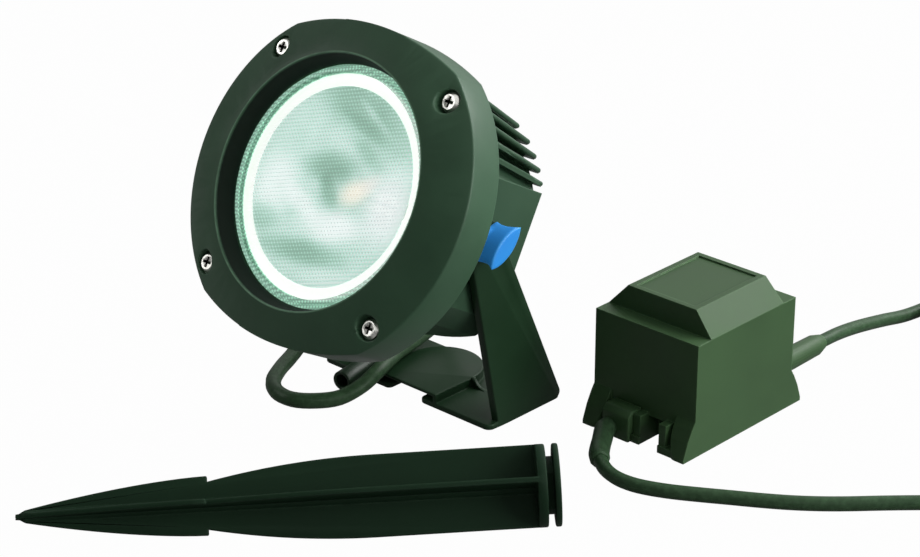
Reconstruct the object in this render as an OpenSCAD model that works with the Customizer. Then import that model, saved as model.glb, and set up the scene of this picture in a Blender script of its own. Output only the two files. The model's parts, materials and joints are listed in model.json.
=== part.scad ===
// Underwater pond light set: a finned lamp head on a yoke bracket, its ground stake,
// its potted transformer and its leads, laid out as they come out of the box.
// Millimetres, +Z up, the lamp looks along -Y, origin on the floor under the bracket's middle.

/* [View] */
// Sub-part to draw, or all of them

/* [Lamp head] */
// Angle that the lamp looks up from level
head_tilt = 29.3; // [0:0.1:60]
// Height of the tilt axis above the floor
pivot_z = 105.6; // [90:0.1:130]
// Place of the tilt axis along Y
pivot_y = -31.5; // [-45:0.1:-15]
// From the tilt axis forward to the tops of the bezel screws
face_ahead = 57.5; // [50:0.1:70]
// Distance between neighbouring bezel screws
screw_pitch = 112.5; // [106:0.5:126]
// From the middle of a screw out to the bezel's round side
screw_edge = 8.45; // [7.5:0.05:12]
// How much the bezel's round outline is cut off at its top and bottom
bezel_cut = 7.5; // [4:0.5:10]
// Radius of the arcs that flatten the bezel's top and bottom
bezel_flat_r = 139; // [110:1:180]
// How far the bezel's outer edge lies behind the screw tops
bezel_edge_drop = 1.6; // [0.5:0.1:4]
// How far the bezel's mouth stands ahead of the screw tops
bezel_mouth_rise = 7.5; // [4:0.1:12]
// How far the lip over the glass lies behind the screw tops
lip_drop = 4.4; // [3.5:0.1:6]
// Depth of the bezel's skirt
skirt_depth = 20.5; // [18:0.5:26]
// Wall of the bezel's skirt
skirt_wall = 4; // [3:0.5:6]
// Radius of the mouth at the front
mouth_r = 63.5; // [61:0.5:66]
// Radius of the mouth where it meets the glass
glass_view_r = 60.5; // [59.5:0.5:61]
// Thread diameter of a bezel screw
screw_d = 5; // [4:0.5:6]
// Head diameter of a bezel screw
screw_head_d = 10; // [8:0.5:11]
// Head height of a bezel screw
screw_head_h = 3.2; // [2.5:0.1:4]
// Room round a screw head in its counterbore
screw_head_room = 1; // [0.5:0.1:2]
// Thickness of the front glass
glass_t = 4; // [3:0.5:5]
// How far the middle of the glass stands ahead of its rim
glass_rise = 3.9; // [3:0.1:4.5]
// How far the glass reaches under the bezel's lip
glass_edge = 4.5; // [3:0.5:6]
// Thickness of the gasket in front of the glass
gasket_t = 0.6; // [0.4:0.1:1.2]
// Thickness of the seal behind the glass
seal_t = 0.8; // [0.5:0.1:1.5]

/* [Housing] */
// Half the width between the housing's flat sides
housing_half_w = 53; // [50:0.5:56]
// From the tilt axis back to the housing's rear wall
housing_back = 38; // [34:0.5:44]
// From the lamp's axis down to the housing's floor
housing_drop = 56; // [52:0.5:60]
// Radius of the housing's arched floor
housing_floor_r = 110; // [90:1:140]
// Radius that rounds the housing's lower corners
housing_corner_r = 64; // [61:0.5:70]
// From the lamp's axis up to the shelf under the fins
shelf_h = 31; // [28:0.5:33]
// Thickness of the housing's front flange
flange_t = 9.5; // [7:0.5:10]
// Radius of the finned barrel at the rear
barrel_rear_r = 57.5; // [54:0.5:58]
// Radius of the finned barrel at the flange
barrel_front_r = 64; // [61:0.5:66]
// Number of cooling fins
fin_count = 5; // [4:1:5]
// Thickness of a fin
fin_t = 2.6; // [1.8:0.1:3.2]
// Height of the lowest fin above the lamp's axis at the rear
fin_low = 35; // [34.5:0.1:38]
// Step from fin to fin at the rear
fin_pitch = 5.8; // [4.5:0.1:6]
// Radius of the round outline of the fins at the rear
fin_rear_r = 63.5; // [62:0.1:66]
// Spread of the fins towards the front, as a share of their height per mm
fin_spread = 0.0027; // [0:0.0001:0.004]
// Rounding of the fins' rear corners
fin_round = 5; // [3:0.5:8]
// Width of the upright rib that ties the fins together
fin_rib_w = 5; // [3:0.5:8]

/* [Reflector lamp] */
// Outer radius of the reflector's flat rim
ring_r = 56; // [54:0.1:56.5]
// Width of the reflector's flat rim
ring_w = 6.1; // [5:0.1:8]
// Thickness of the reflector's flat rim
ring_t = 1.6; // [1.2:0.1:2.5]
// Depth of the reflector's bowl
bowl_depth = 44; // [38:1:46]
// Radius of the hole at the bowl's back
bowl_hole_r = 12; // [9:0.5:14]
// Wall of the reflector's bowl
bowl_wall = 1.2; // [1:0.1:2]
// Radius of the anti glare cap in the bowl's middle
cap_r = 14; // [10:0.5:18]
// Radius of the halogen capsule
capsule_r = 5; // [4:0.5:6]
// Height of the lamp's ceramic base
base_h = 8; // [6:0.5:10]
// Height of the lamp holder
holder_h = 8; // [6:0.5:10]
// Spacing of the lamp's two pins
pin_pitch = 6.35; // [5:0.05:8]

/* [Bracket] */
// Thickness of a friction washer beside the housing
washer_t = 1; // [0.6:0.1:2]
// Running gap between a washer and its arm
arm_room = 0.2; // [0.1:0.05:0.5]
// Thickness of a bracket arm
arm_t = 5; // [4:0.5:7]
// Radius of an arm's round top
arm_top_r = 10.6; // [9:0.1:13]
// Front end of an arm at the floor, along Y
arm_front_y = -20.5; // [-26:0.5:-12]
// Rear end of an arm at the floor, along Y
arm_rear_y = 28; // [20:0.5:36]
// Rounding of an arm's rear corner at the floor
arm_round = 3.5; // [2:0.5:5]
// Thickness of the foot plate
foot_t = 3; // [2.5:0.1:3.2]
// Front edge of the foot plate, ahead of the origin
foot_front = 28; // [24:0.5:34]
// Rear edge of the foot plate, behind the origin
foot_rear = 25; // [23:0.5:30]
// Rounding of the foot plate's corners
foot_round = 4; // [2:0.5:6]
// Rounding of the corners at the slot's mouth
slot_round = 3; // [1:0.5:5]
// Thickness of the pocket's roof
roof_t = 1.8; // [1.4:0.1:3]
// Wall of the stake pocket
pocket_wall = 2.2; // [1.4:0.1:3]

/* [Knobs] */
// Diameter of a pivot stud
stud_d = 8; // [6:0.5:10]
// Length of a knob's wing
wing_l = 28; // [24:0.5:34]
// Thickness of a knob's wing
wing_t = 11; // [8:0.5:13]
// How far a knob stands out from its arm
knob_out = 13.5; // [11:0.5:18]
// Radius of the finger hollows in a knob's ends
knob_hollow_r = 11; // [9:0.5:16]
// Depth of the finger hollows
knob_hollow_in = 4; // [2:0.5:5]
// Running gap between a knob and its arm
knob_room = 0.4; // [0.3:0.1:1]
// Angle that the knobs' wings are turned from the lamp's face
knob_turn = 23.8; // [0:0.1:90]
// Length of a threaded insert
insert_l = 12; // [8:0.5:14]
// Wall of a threaded insert
insert_wall = 2.5; // [1.5:0.1:4]

/* [Ground stake] */
// Length from the tip to the top flange
stake_l = 254; // [220:1:280]
// Radius of the stake's two flanges
stake_flange_r = 19.5; // [18:0.5:21]
// Thickness of the lower flange
stake_flange_t = 4.6; // [3:0.1:6]
// Thickness of the upper flange, which slides into the pocket
stake_disc_t = 2.8; // [2:0.1:3.4]
// Half the width of the neck across its flats, which slide along the slot
stake_neck_r = 10.5; // [8:0.1:12]
// Radius of the neck's round sides
stake_neck_round = 13.6; // [13:0.1:16]
// Sideways room of the stake's head in the bracket
stake_room = 0.25; // [0.15:0.05:0.5]
// Height room of the stake's head in the bracket
stake_lift = 0.4; // [0.2:0.1:0.8]
// Thickness of a blade
blade_t = 2.6; // [2:0.1:4]
// Half width of the blades at the barb
barb_r = 14; // [12:0.5:16]
// Half width of the blades behind the barb
barb_neck_r = 11.3; // [9:0.1:12]
// From the tip to the barb
barb_at = 90; // [80:1:105]
// From the barb to the full blade width
blade_swell = 78; // [60:1:100]
// Half width of the blades under the head
blade_r = 19.5; // [17:0.5:21]
// Radius of the stake's round core at the head
stake_core_r = 4; // [3:0.5:6]
// Half width of the blades where the pointed tip ends
tip_r = 3; // [2:0.5:4]
// Length of the pointed tip
tip_l = 5; // [3:0.5:8]

/* [Transformer] */
// Middle of the transformer, along X
trafo_x = 119.2; // [110:0.2:140]
// Middle of the transformer, along Y
trafo_y = 59.2; // [40:0.2:80]
// Length of the case along Y
trafo_l = 78.2; // [72:0.2:90]
// Width of the case along X
trafo_w = 64.8; // [60:0.2:76]
// Height of the case's walls
trafo_h = 61; // [56:0.5:70]
// Height of the sloped roof over the walls
trafo_roof_h = 12.2; // [8:0.2:16]
// Width of the roof's flat top
trafo_top_w = 43; // [36:0.5:50]
// Ledge at each end beside the roof
trafo_ledge = 10; // [6:0.5:14]
// Slope of the roof's ends over their height
trafo_end_slope = 1.4; // [0.5:0.1:3]
// Wall of the case
trafo_wall = 3; // [2.5:0.1:4]
// Width of the raised border round the roof's top
trafo_border = 3.2; // [2:0.1:5]
// Depth of the panel inside the border
trafo_panel = 0.8; // [0.4:0.1:1.5]
// How far the corner feet flare out
flare_out = 8.6; // [6:0.2:12]
// Height at which the corner feet start to flare
flare_h = 20; // [16:0.5:26]
// Width of a corner foot
flare_w = 11.3; // [9:0.1:13]
// Thickness of the low tab between the feet
tab_t = 4; // [3:0.5:5]
// Width of the fixing notch
notch_w = 11.7; // [9:0.1:13]
// Height of the fixing notch inside the case
notch_h = 13.5; // [10:0.5:16]
// Depth of the fixing notch inside the case
notch_in = 8; // [5:0.5:9]
// Width of a post beside the fixing notch
post_w = 4.4; // [3:0.1:6]
// Thickness of the cast resin that closes the case
resin_t = 6; // [4:0.5:8]

/* [Leads] */
// Diameter of the lamp lead
lead_d = 8.2; // [7.8:0.1:8.4]
// Diameter of the low voltage lead
low_d = 7.2; // [6.8:0.1:7.4]
// Diameter of the mains lead
mains_d = 7; // [6.4:0.1:7.2]
// Turns of the lamp lead's coil
lamp_turns = 11.5; // [7.5:4:11.5]
// Layers of the lamp lead's coil
lamp_layers = 4; // [2:2:4]
// Outer radius of the lamp lead's coil, at the middle of its outer turn
lamp_coil_r = 58; // [54:1:62]
// Turns of the mains lead's coil
mains_turns = 7.5; // [5.5:2:7.5]
// Layers of the mains lead's coil
mains_layers = 2; // [2:2:2]
// Outer radius of the mains lead's coil, at the middle of its outer turn
mains_coil_r = 55; // [52:1:60]

/* [Hidden] */
$fn = 72;

green = [0.13, 0.16, 0.14];
black = [0.07, 0.08, 0.08];
steel = [0.75, 0.75, 0.73];
glassy = [0.85, 0.93, 0.9, 0.5];
blue = [0.2, 0.5, 0.85];
brass = [0.75, 0.6, 0.3];
copper = [0.7, 0.4, 0.2];
white = [0.93, 0.94, 0.93];

// Outline of the bezel, which follows its screws
bezel_r = screw_pitch / sqrt(2) + screw_edge;
bezel_half_h = bezel_r - bezel_cut;

// Levels along the lamp's axis, measured forward from the tilt axis
edge_z = face_ahead - bezel_edge_drop;
mouth_z = face_ahead + bezel_mouth_rise;
skirt_z = edge_z - skirt_depth;
lip_z = face_ahead - lip_drop;
glass_z = lip_z - gasket_t - glass_t;
seat_z = glass_z - seal_t;
flange_z = seat_z - flange_t;
screw_seat_z = face_ahead - screw_head_h;
glass_r = glass_view_r + glass_edge;
cone_run = (bezel_r - mouth_r) / (mouth_z - edge_z);
fit = 0.3;
thread_room = 0.05;
run_room = 0.08;

// Cavity of the housing
barrel_ahead = 1.5;
bowl_steps = 14;
ring_room = 1.5;
bowl_room = 2;
base_room = 2.8;
ring_gap = 0.2;
ring_sink = 0.5;
collar_w = 2;
ring_seat_z = seat_z - ring_sink;
ring_z = glass_z + glass_rise - ring_gap - ring_t;
dome_room = 0.5;
dome_wall = 2;
dome_edge = 0.8;
dome_in_r = ring_r + dome_room;
dome_r = dome_in_r + dome_wall;
cavity_r = ring_r + ring_room;
bowl_r = ring_r - ring_w;
bowl_back_z = ring_z - bowl_depth;
base_back_z = bowl_back_z - base_h;
holder_back_z = base_back_z - holder_h;
base_r = bowl_hole_r + bowl_wall;
pin_r = 0.75;
pin_in = 5;
cap_h = 7;
cap_z = bowl_back_z + bowl_depth * 0.82;
cap_taper = 3;
wire_r = 0.8;

// Bracket
arm_in = housing_half_w + washer_t + arm_room;
arm_out = arm_in + arm_t;
slot_r = stake_neck_r + stake_room;
pocket_in_r = stake_flange_r + stake_room;
pocket_r = pocket_in_r + pocket_wall;
pocket_top = foot_t + stake_disc_t + stake_lift;
roof_top = pocket_top + roof_t;
neck_gap = foot_t + stake_lift;
stake_head_l = stake_flange_t + neck_gap + stake_disc_t;
rib_t = 2.5;
rib_run = 10;
stud_r = stud_d / 2;
insert_r = stud_r + insert_wall;
stud_reach = 0.6 * knob_out;
stud_in = housing_half_w - insert_l + 1;
knob_base = arm_out + knob_room;
knob_hub_wall = 2;
knob_hub_l = 3;

// Stake: place of its head on the floor, heading and slope
stake_head = [145.7, -74.1];
stake_yaw = 45.1;
stake_pitch = 2.8;
stake_roll = 52;
neck_turn = 24;
rest_gap = 0.95;

// Transformer
trafo_front = trafo_y - trafo_l / 2;
trafo_back = trafo_y + trafo_l / 2;
core_l = 54;
core_w = 34;
core_h = 44;
notch_x = 9.15;
notch_wall = 2.4;
post_h = notch_h + 2;
post_back = 2;
tab_back = 1;
toe_h = 2;
foot_plan_r = 6;
outlet_w = 17;
outlet_x = trafo_x + notch_x - notch_w / 2 - post_w - fit - outlet_w / 2;
outlet_h = 16.6;
outlet_cut = 3;
outlet_ahead = 1.7;
case_lift = 0.2;
core_win_l = 9;
core_win_y = 14;
core_win_h = core_h * 0.5;
wrap_t = 8;
wrap_round = 6;
mains_boot_r = 6.1;
mains_x = trafo_x + 22;
mains_z = 19;
mains_boot_l = 39;

// Routes of the leads, through round points chosen by hand
gland_x = -28;
gland_v = -5;
gland_l = 10;
gland_nut_l = 4;
gland_r = 5;
boot_l = 26;
lead_r = lead_d / 2;
low_r = low_d / 2;
mains_r = mains_d / 2;
low_boot_r = low_r + 1.6;
boot_lip = 0.5;
boot_wide_r = lead_r + 2.4;
gland_nut_r = lead_r + 4.4;
floor_z = lead_r + 0.1;
low_z = low_r + 0.1;
tie_t = 0.8;
tie_w = 8;
tie_room = 0.25;
tie_round = 3;
tie_angle = 60;
coil_step = lead_d * 1.08;
mains_step = mains_d * 1.08;
coil_floor = lead_r + tie_t + tie_room + 0.1;
mains_floor = mains_r + tie_t + tie_room + 0.1;

// Place of a point given in the lamp head's own directions: across, up the face, forward
function head_point(x, v, z) = [x,
    pivot_y + v * sin(head_tilt) - z * cos(head_tilt),
    pivot_z + v * cos(head_tilt) + z * sin(head_tilt)];
boot_end = head_point(gland_x, gland_v, -housing_back - gland_l - boot_l);
boot_dir = [0, cos(head_tilt), -sin(head_tilt)];

// The lamp lead: down behind the lamp, over the foot, round its loop in front and back to its coil
flex_end = [-25, 14, 13.4];
flex_dir = [0.16, -0.98, -0.1];
flex_route = [boot_end, boot_end + boot_dir * 7, [-28, 43, 57], [-28, 46.4, 41], [-27.6, 41, 26.6],
    [-26.6, 29, 16.6], flex_end];
lamp_coil_mid = [-158, 104];
lamp_coil_in = [lamp_coil_mid[0] - lamp_coil_r, lamp_coil_mid[1] - lead_d, coil_floor];
lamp_route = [flex_end, [-22.8, 1, 12.7], [-20.2, -12, 12.6], [-16.4, -23, 12.8], [-13, -34, 12],
    [-12.8, -46, 8], [-16.6, -58, floor_z], [-23, -69, floor_z], [-33, -76, floor_z], [-45, -75.4, floor_z],
    [-55.4, -68, floor_z], [-63, -56, floor_z], [-69, -43, floor_z], [-76, -30, floor_z], [-88, -16, floor_z],
    [-104, -3, floor_z], [-122, 8, floor_z], [-141, 19, floor_z], [-160, 30, floor_z], [-180, 43, floor_z],
    [-198, 59, floor_z], [-210, 77, floor_z], lamp_coil_in];
lamp_coil_out = [lamp_coil_mid[0] + lamp_coil_r, lamp_coil_mid[1] - lead_d,
    coil_floor + (lamp_layers - 1) * coil_step];
connector_front = [-23.4, -50, 8.4];
connector_l = 46;
connector_dir = [-sin(10), cos(10), 0];
connector_r = lead_r + 1.2;
sleeve_l = 14;
nose_l = 11;
nose_r = 3.4;
contact_pitch = 3;
contact_r = 0.55;
contact_in = 8;
connector_end = connector_front + connector_dir * connector_l;
tail_route = [lamp_coil_out, [-99.6, 80, 22], [-96, 64, 13], [-88, 50, floor_z + 1], [-75, 40, floor_z],
    [-60, 35, floor_z], [-48, 27, 7.6], [-38.6, 13, 8.4], connector_end];

// The low voltage lead: out of its block and round to the right
outlet_front = trafo_front - flare_out - outlet_ahead;
lv_dir = [0, -1, 0];
lv_turn = [0.74, -0.66, -0.1];
lv_start = [outlet_x - 4.1, outlet_front, low_boot_r + 0.3];
lv_boot_end = [125.6, -20.6, low_boot_r + 0.1];
lv_boot_route = [lv_start, [106, 5.8, 5.4], [108.4, 2.2, 5.4], [112, -3, 5.4], [116.4, -9.8, 5.3],
    [120.8, -15.8, 5.3], lv_boot_end];
lv_plug_dir = [cos(34), sin(34), 0];
lv_plug_l = 40;
lv_end = [309, 88, connector_r + 0.1];
lv_route = [lv_boot_end, [132, -24.2, 4.4], [139, -26.2, low_z], [147, -26.8, low_z], [156, -25, low_z],
    [168, -19.8, low_z], [181, -12.2, low_z], [193, -4.7, low_z], [205.4, 3, low_z], [217, 10.9, low_z],
    [228, 19.7, low_z], [238, 29, low_z], [248.4, 39.6, low_z], [259.4, 50.4, low_z], [271, 61.2, low_z],
    [285, 72, low_z], [297, 80.2, 4.6], lv_end];

// The mains lead: out of the back of the case to its coil and plug
mains_coil_mid = [mains_x + mains_coil_r, 258];
mains_start = [mains_x, trafo_back + mains_boot_l, mains_z];
mains_coil_in = [mains_coil_mid[0] - mains_coil_r, mains_coil_mid[1] - mains_d, mains_floor];
mains_route = [mains_start, [141, 151, 18.4], [139.6, 166, 15.9], [138.4, 182, 12.6], [138.2, 200, 9],
    [139, 218, 5.6], [140.6, 236, 4.65], mains_coil_in];
mains_coil_out = [mains_coil_mid[0] + mains_coil_r, mains_coil_mid[1] - mains_d,
    mains_floor + (mains_layers - 1) * mains_step];
plug_r = 17;
plug_l = 44;
plug_neck_r = 11;
plug_neck_l = 10;
plug_pitch = 19;
plug_pin_r = 2.35;
plug_pin_l = 17;
plug_pin_in = 8;
pin_root_r = plug_pin_r - 0.4;
mains_plug_end = [mains_coil_out[0], 222, plug_r + 0.2];
mains_tail_route = [mains_coil_out, [mains_coil_out[0], 240, 13.6], mains_plug_end];

// Unit vector
function unit(v) = v / norm(v);
// Heading of a route at one of its points, with its ends given
function heading(p, i, d0, d1) = i == 0 ? unit(d0) : i == len(p) - 1 ? unit(d1) : unit(p[i + 1] - p[i - 1]);
// Part of a vector that is square to a heading
function square_to(v, t) = unit(v - (v * t) * t);
// Turning free side directions along a route
function sides_along(t, n0) = [for (i = 0, n = square_to(n0, t[0]); i < len(t);
    i = i + 1, n = i < len(t) ? square_to(n, t[i]) : n) n];
// Corner points of a tube's rings
function ring_points(p, t, n, r, k) = [for (i = [0 : len(p) - 1]) for (j = [0 : k - 1])
    p[i] + r * (cos(360 * j / k) * n[i] + sin(360 * j / k) * cross(t[i], n[i]))];
// Triangles of a tube with closed ends
function ring_faces(count, k) = concat(
    [for (i = [0 : count - 2]) for (j = [0 : k - 1]) [i * k + j, (i + 1) * k + j, i * k + (j + 1) % k]],
    [for (i = [0 : count - 2]) for (j = [0 : k - 1])
        [i * k + (j + 1) % k, (i + 1) * k + j, (i + 1) * k + (j + 1) % k]],
    [for (j = [1 : k - 2]) [0, j, j + 1]],
    [for (j = [1 : k - 2]) [(count - 1) * k, (count - 1) * k + j + 1, (count - 1) * k + j]]);

// Tube along a route, with its end headings and the side where its rings start
module tube(p, r, k, d0, d1, side = [0, 0, 1]) {
    t = [for (i = [0 : len(p) - 1]) heading(p, i, d0, d1)];
    n = sides_along(t, side);
    polyhedron(ring_points(p, t, n, r, k), ring_faces(len(p), k), convexity = 10);
}

// Share of a climb that is done at a turn
function climb(turn, at) = min(1, max(0, (turn - at + 0.25) / 0.5));
// Layers that a coil has climbed at a turn
function layers_up(turn, per, layers) = [for (k = [1 : layers - 1]) 1] *
    [for (k = [1 : layers - 1]) climb(turn, k * per)];
// How far a spiral has come in, as a share of its way in and out again
function fold(m) = (m - 2 * floor(m / 2)) < 1 ? m - 2 * floor(m / 2) : 2 - (m - 2 * floor(m / 2));
// Points of a piled coil that starts at its left side and winds clockwise
function coil_points(mid, r_out, turns, layers, step, z0) = [for (i = [0 : 24 * turns])
    let (turn = i / 24, per = turns / layers, r = r_out - step * per * fold(turn / per), a = 180 - 360 * turn)
    [mid[0] + r * cos(a), mid[1] + r * sin(a),
        z0 + step * layers_up(turn, per, layers)]];
// Least gap between the turns of a coil
function coil_gap(p, d) = min([for (i = [0 : 3 : len(p) - 14]) for (j = [i + 13 : len(p) - 1])
    norm(p[i] - p[j])]) - d;

// Coil with straight ends of one diameter
module coil(p, in, out, r) {
    tube(concat([in], p, [out]), r, 6, [0, 1, 0], [0, -1, 0], [1, 0, 0]);
}

lamp_coil_points = coil_points(lamp_coil_mid, lamp_coil_r, lamp_turns, lamp_layers, coil_step, coil_floor);
mains_coil_points = coil_points(mains_coil_mid, mains_coil_r, mains_turns, mains_layers, mains_step,
    mains_floor);
echo(lamp_coil_gap = coil_gap(lamp_coil_points, lead_d));
echo(mains_coil_gap = coil_gap(mains_coil_points, mains_d));

// Puts its children in the lamp head's own directions at the tilt axis
module in_head() {
    translate([0, pivot_y, pivot_z]) rotate([90 - head_tilt, 0, 0]) children();
}

// Turns a shape drawn along Z so that it points along a level direction
module along(start, dir) {
    translate(start) rotate([0, 0, atan2(dir[1], dir[0])]) rotate([0, 90, 0]) children();
}

// Rounded rectangle from corner to corner
module round_rect(x0, y0, x1, y1, r) {
    translate([x0 + r, y0]) square([x1 - x0 - 2 * r, y1 - y0]);
    translate([x0, y0 + r]) square([x1 - x0, y1 - y0 - 2 * r]);
    for (x = [x0 + r, x1 - r], y = [y0 + r, y1 - r]) translate([x, y]) circle(r);
}

// Ring between two radii
module ring(r_out, r_in, h) {
    difference() {
        cylinder(r = r_out, h = h);
        translate([0, 0, -1]) cylinder(r = r_in, h = h + 2);
    }
}

// The bezel's outline, drawn in from its edge by a margin
module bezel_outline(margin) {
    intersection() {
        circle(bezel_r - margin, $fn = 120);
        translate([0, bezel_half_h - bezel_flat_r]) circle(bezel_flat_r - margin, $fn = 160);
        translate([0, bezel_flat_r - bezel_half_h]) circle(bezel_flat_r - margin, $fn = 160);
    }
}

// Puts its children at the bezel's screws
module at_screws() {
    for (x = [-0.5, 0.5], y = [-0.5, 0.5]) translate([x * screw_pitch, y * screw_pitch]) children();
}

// Front ring that clamps the glass
module front_bezel() {
    over = 6;
    far = bezel_r + over;
    color(green) in_head() difference() {
        intersection() {
            translate([0, 0, skirt_z]) linear_extrude(mouth_z - skirt_z) bezel_outline(0);
            union() {
                translate([0, 0, skirt_z]) cylinder(r = far, h = edge_z - over / cone_run - skirt_z);
                translate([0, 0, edge_z - over / cone_run])
                    cylinder(r1 = far, r2 = mouth_r - 2, h = (far - mouth_r + 2) / cone_run, $fn = 120);
            }
        }
        translate([0, 0, skirt_z - 1]) linear_extrude(seat_z - skirt_z + 1) bezel_outline(skirt_wall);
        translate([0, 0, seat_z - 1]) cylinder(r = glass_r + fit, h = lip_z - seat_z + 1, $fn = 120);
        translate([0, 0, lip_z - 0.5]) cylinder(r = glass_view_r, h = 1, $fn = 120);
        translate([0, 0, lip_z]) cylinder(r1 = glass_view_r, r2 = mouth_r, h = mouth_z - lip_z, $fn = 120);
        translate([0, 0, mouth_z - 0.01]) cylinder(r = mouth_r, h = 3, $fn = 120);
        at_screws() {
            translate([0, 0, seat_z - 1]) cylinder(d = screw_d + 0.6, h = mouth_z);
            translate([0, 0, screw_seat_z]) cylinder(d = screw_head_d + 2 * screw_head_room, h = mouth_z);
        }
    }
}

// Flat gasket between the bezel's lip and the glass
module glass_gasket() {
    color(black) in_head() translate([0, 0, lip_z - gasket_t]) ring(glass_r, glass_view_r, gasket_t);
}

// Pressed front glass, whose middle stands ahead of the rim and is hollow behind
module front_glass() {
    side_h = glass_t + glass_rise - dome_edge;
    color(glassy) in_head() translate([0, 0, glass_z]) difference() {
        union() {
            cylinder(r = glass_r, h = glass_t, $fn = 120);
            cylinder(r = dome_r, h = side_h, $fn = 120);
            translate([0, 0, side_h])
                cylinder(r1 = dome_r, r2 = dome_r - dome_edge, h = dome_edge, $fn = 120);
        }
        translate([0, 0, -1]) cylinder(r = dome_in_r, h = glass_rise + 1, $fn = 120);
    }
}

// Seal between the glass and the housing
module glass_seal() {
    color(black) in_head() translate([0, 0, seat_z]) ring(glass_r, cavity_r + 1, seal_t);
}

// Cross recessed pan head screw
module screw(x, y) {
    slot_w = 1.2;
    slot_l = screw_head_d * 0.52;
    color(steel) in_head() translate([x * screw_pitch / 2, y * screw_pitch / 2, screw_seat_z]) difference() {
        union() {
            translate([0, 0, flange_z + 1 - screw_seat_z]) cylinder(d = screw_d, h = screw_seat_z - flange_z);
            cylinder(d = screw_head_d, h = screw_head_h * 0.55);
            translate([0, 0, screw_head_h * 0.55])
                cylinder(d1 = screw_head_d, d2 = screw_head_d * 0.74, h = screw_head_h * 0.45);
        }
        for (a = [0, 90]) rotate([0, 0, a]) translate([-slot_l / 2, -slot_w / 2, screw_head_h * 0.35])
            cube([slot_l, slot_w, screw_head_h]);
    }
}

// Outline of the housing's lower box across the lamp's axis
module housing_section() {
    intersection() {
        translate([-housing_half_w, -housing_drop - 1])
            square([2 * housing_half_w, housing_drop + 1 + shelf_h]);
        translate([0, housing_floor_r - housing_drop]) circle(housing_floor_r, $fn = 160);
        circle(housing_corner_r, $fn = 120);
    }
}

// Round outline of the fins, wider at the front
module fin_envelope() {
    grow = fin_spread * fin_rear_r;
    translate([0, 0, fin_round - housing_back])
        cylinder(r1 = fin_rear_r, r2 = fin_rear_r + grow * (flange_z + housing_back - fin_round),
            h = flange_z + housing_back - fin_round, $fn = 120);
    translate([0, 0, -housing_back]) cylinder(r = fin_rear_r - fin_round, h = fin_round, $fn = 120);
    translate([0, 0, fin_round - housing_back]) rotate_extrude($fn = 120)
        translate([fin_rear_r - fin_round, 0]) circle(fin_round, $fn = 48);
}

// Cooling fins, which spread a little towards the front
module fins() {
    long = flange_z + housing_back;
    intersection() {
        fin_envelope();
        translate([-housing_half_w, 0, -housing_back]) cube([2 * housing_half_w, bezel_half_h, long]);
        union() {
            for (i = [0 : fin_count - 1]) translate([0, fin_low + i * fin_pitch, -housing_back])
                rotate([-atan(fin_spread * (fin_low + i * fin_pitch)), 0, 0])
                translate([-bezel_r, -fin_t / 2, -fin_round])
                cube([2 * bezel_r, fin_t, long + 3 * fin_round]);
            translate([-fin_rib_w / 2, 0, -housing_back])
                cube([fin_rib_w, fin_low + (fin_count - 1) * fin_pitch, long]);
        }
    }
}

// Round barrel under the fins, flat at the sides
module barrel() {
    long = flange_z + housing_back - barrel_ahead;
    intersection() {
        translate([0, 0, barrel_ahead - housing_back])
            cylinder(r1 = barrel_rear_r, r2 = barrel_front_r, h = long, $fn = 120);
        translate([-housing_half_w, -bezel_r, -housing_back])
            cube([2 * housing_half_w, 2 * bezel_r, long + bezel_r]);
    }
}

// Hollow for the reflector lamp and its holder
module lamp_cavity() {
    translate([0, 0, ring_seat_z]) cylinder(r = cavity_r, h = ring_z - ring_seat_z, $fn = 120);
    rotate_extrude($fn = 96) polygon(concat([[0, bowl_back_z], [0, ring_z]],
        [[bowl_inner(1)[0] + bowl_wall + bowl_room, ring_z]],
        [for (i = [bowl_steps : -1 : 0]) bowl_inner(i / bowl_steps) + [bowl_wall + bowl_room, 0]]));
    translate([0, 0, holder_back_z]) cylinder(r = base_r + base_room, h = bowl_back_z - holder_back_z + 1);
}

// Housing: flanged front, flat sided box below, finned barrel above, open to the front
module lamp_housing() {
    color(green) in_head() difference() {
        union() {
            translate([0, 0, flange_z]) linear_extrude(flange_t) bezel_outline(skirt_wall + fit);
            translate([0, 0, -housing_back]) linear_extrude(flange_z + housing_back) housing_section();
            barrel();
            fins();
        }
        lamp_cavity();
        at_screws() translate([0, 0, flange_z - 1]) cylinder(d = screw_d + 2 * thread_room, h = flange_t + 2);
        for (side = [-1, 1]) translate([side * (housing_half_w - insert_l / 2 + 0.5), 0, 0])
            rotate([0, 90, 0]) cylinder(r = insert_r + thread_room, h = insert_l + 1, center = true);
        translate([gland_x, gland_v, -housing_back - 1]) cylinder(r = gland_r, h = gland_l + 1);
    }
}

// Flat rim of the reflector lamp, on a collar that stands on the housing
module reflector_ring() {
    color(white) in_head() {
        translate([0, 0, ring_seat_z]) ring(ring_r, ring_r - collar_w, ring_z - ring_seat_z);
        translate([0, 0, ring_z]) ring(ring_r, bowl_r, ring_t);
    }
}

// Radius and height of the reflector's inside at a share of its depth
function bowl_inner(s) = [bowl_hole_r + (bowl_r - bowl_hole_r) * pow(s, 0.56), bowl_back_z + bowl_depth * s];

// Bowl of the reflector lamp
module reflector_bowl() {
    inner = [for (i = [0 : bowl_steps]) bowl_inner(i / bowl_steps)];
    outer = [for (i = [bowl_steps : -1 : 0]) inner[i] + [bowl_wall, 0]];
    color(steel) in_head() rotate_extrude($fn = 96) polygon(concat(inner, outer));
}

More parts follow.
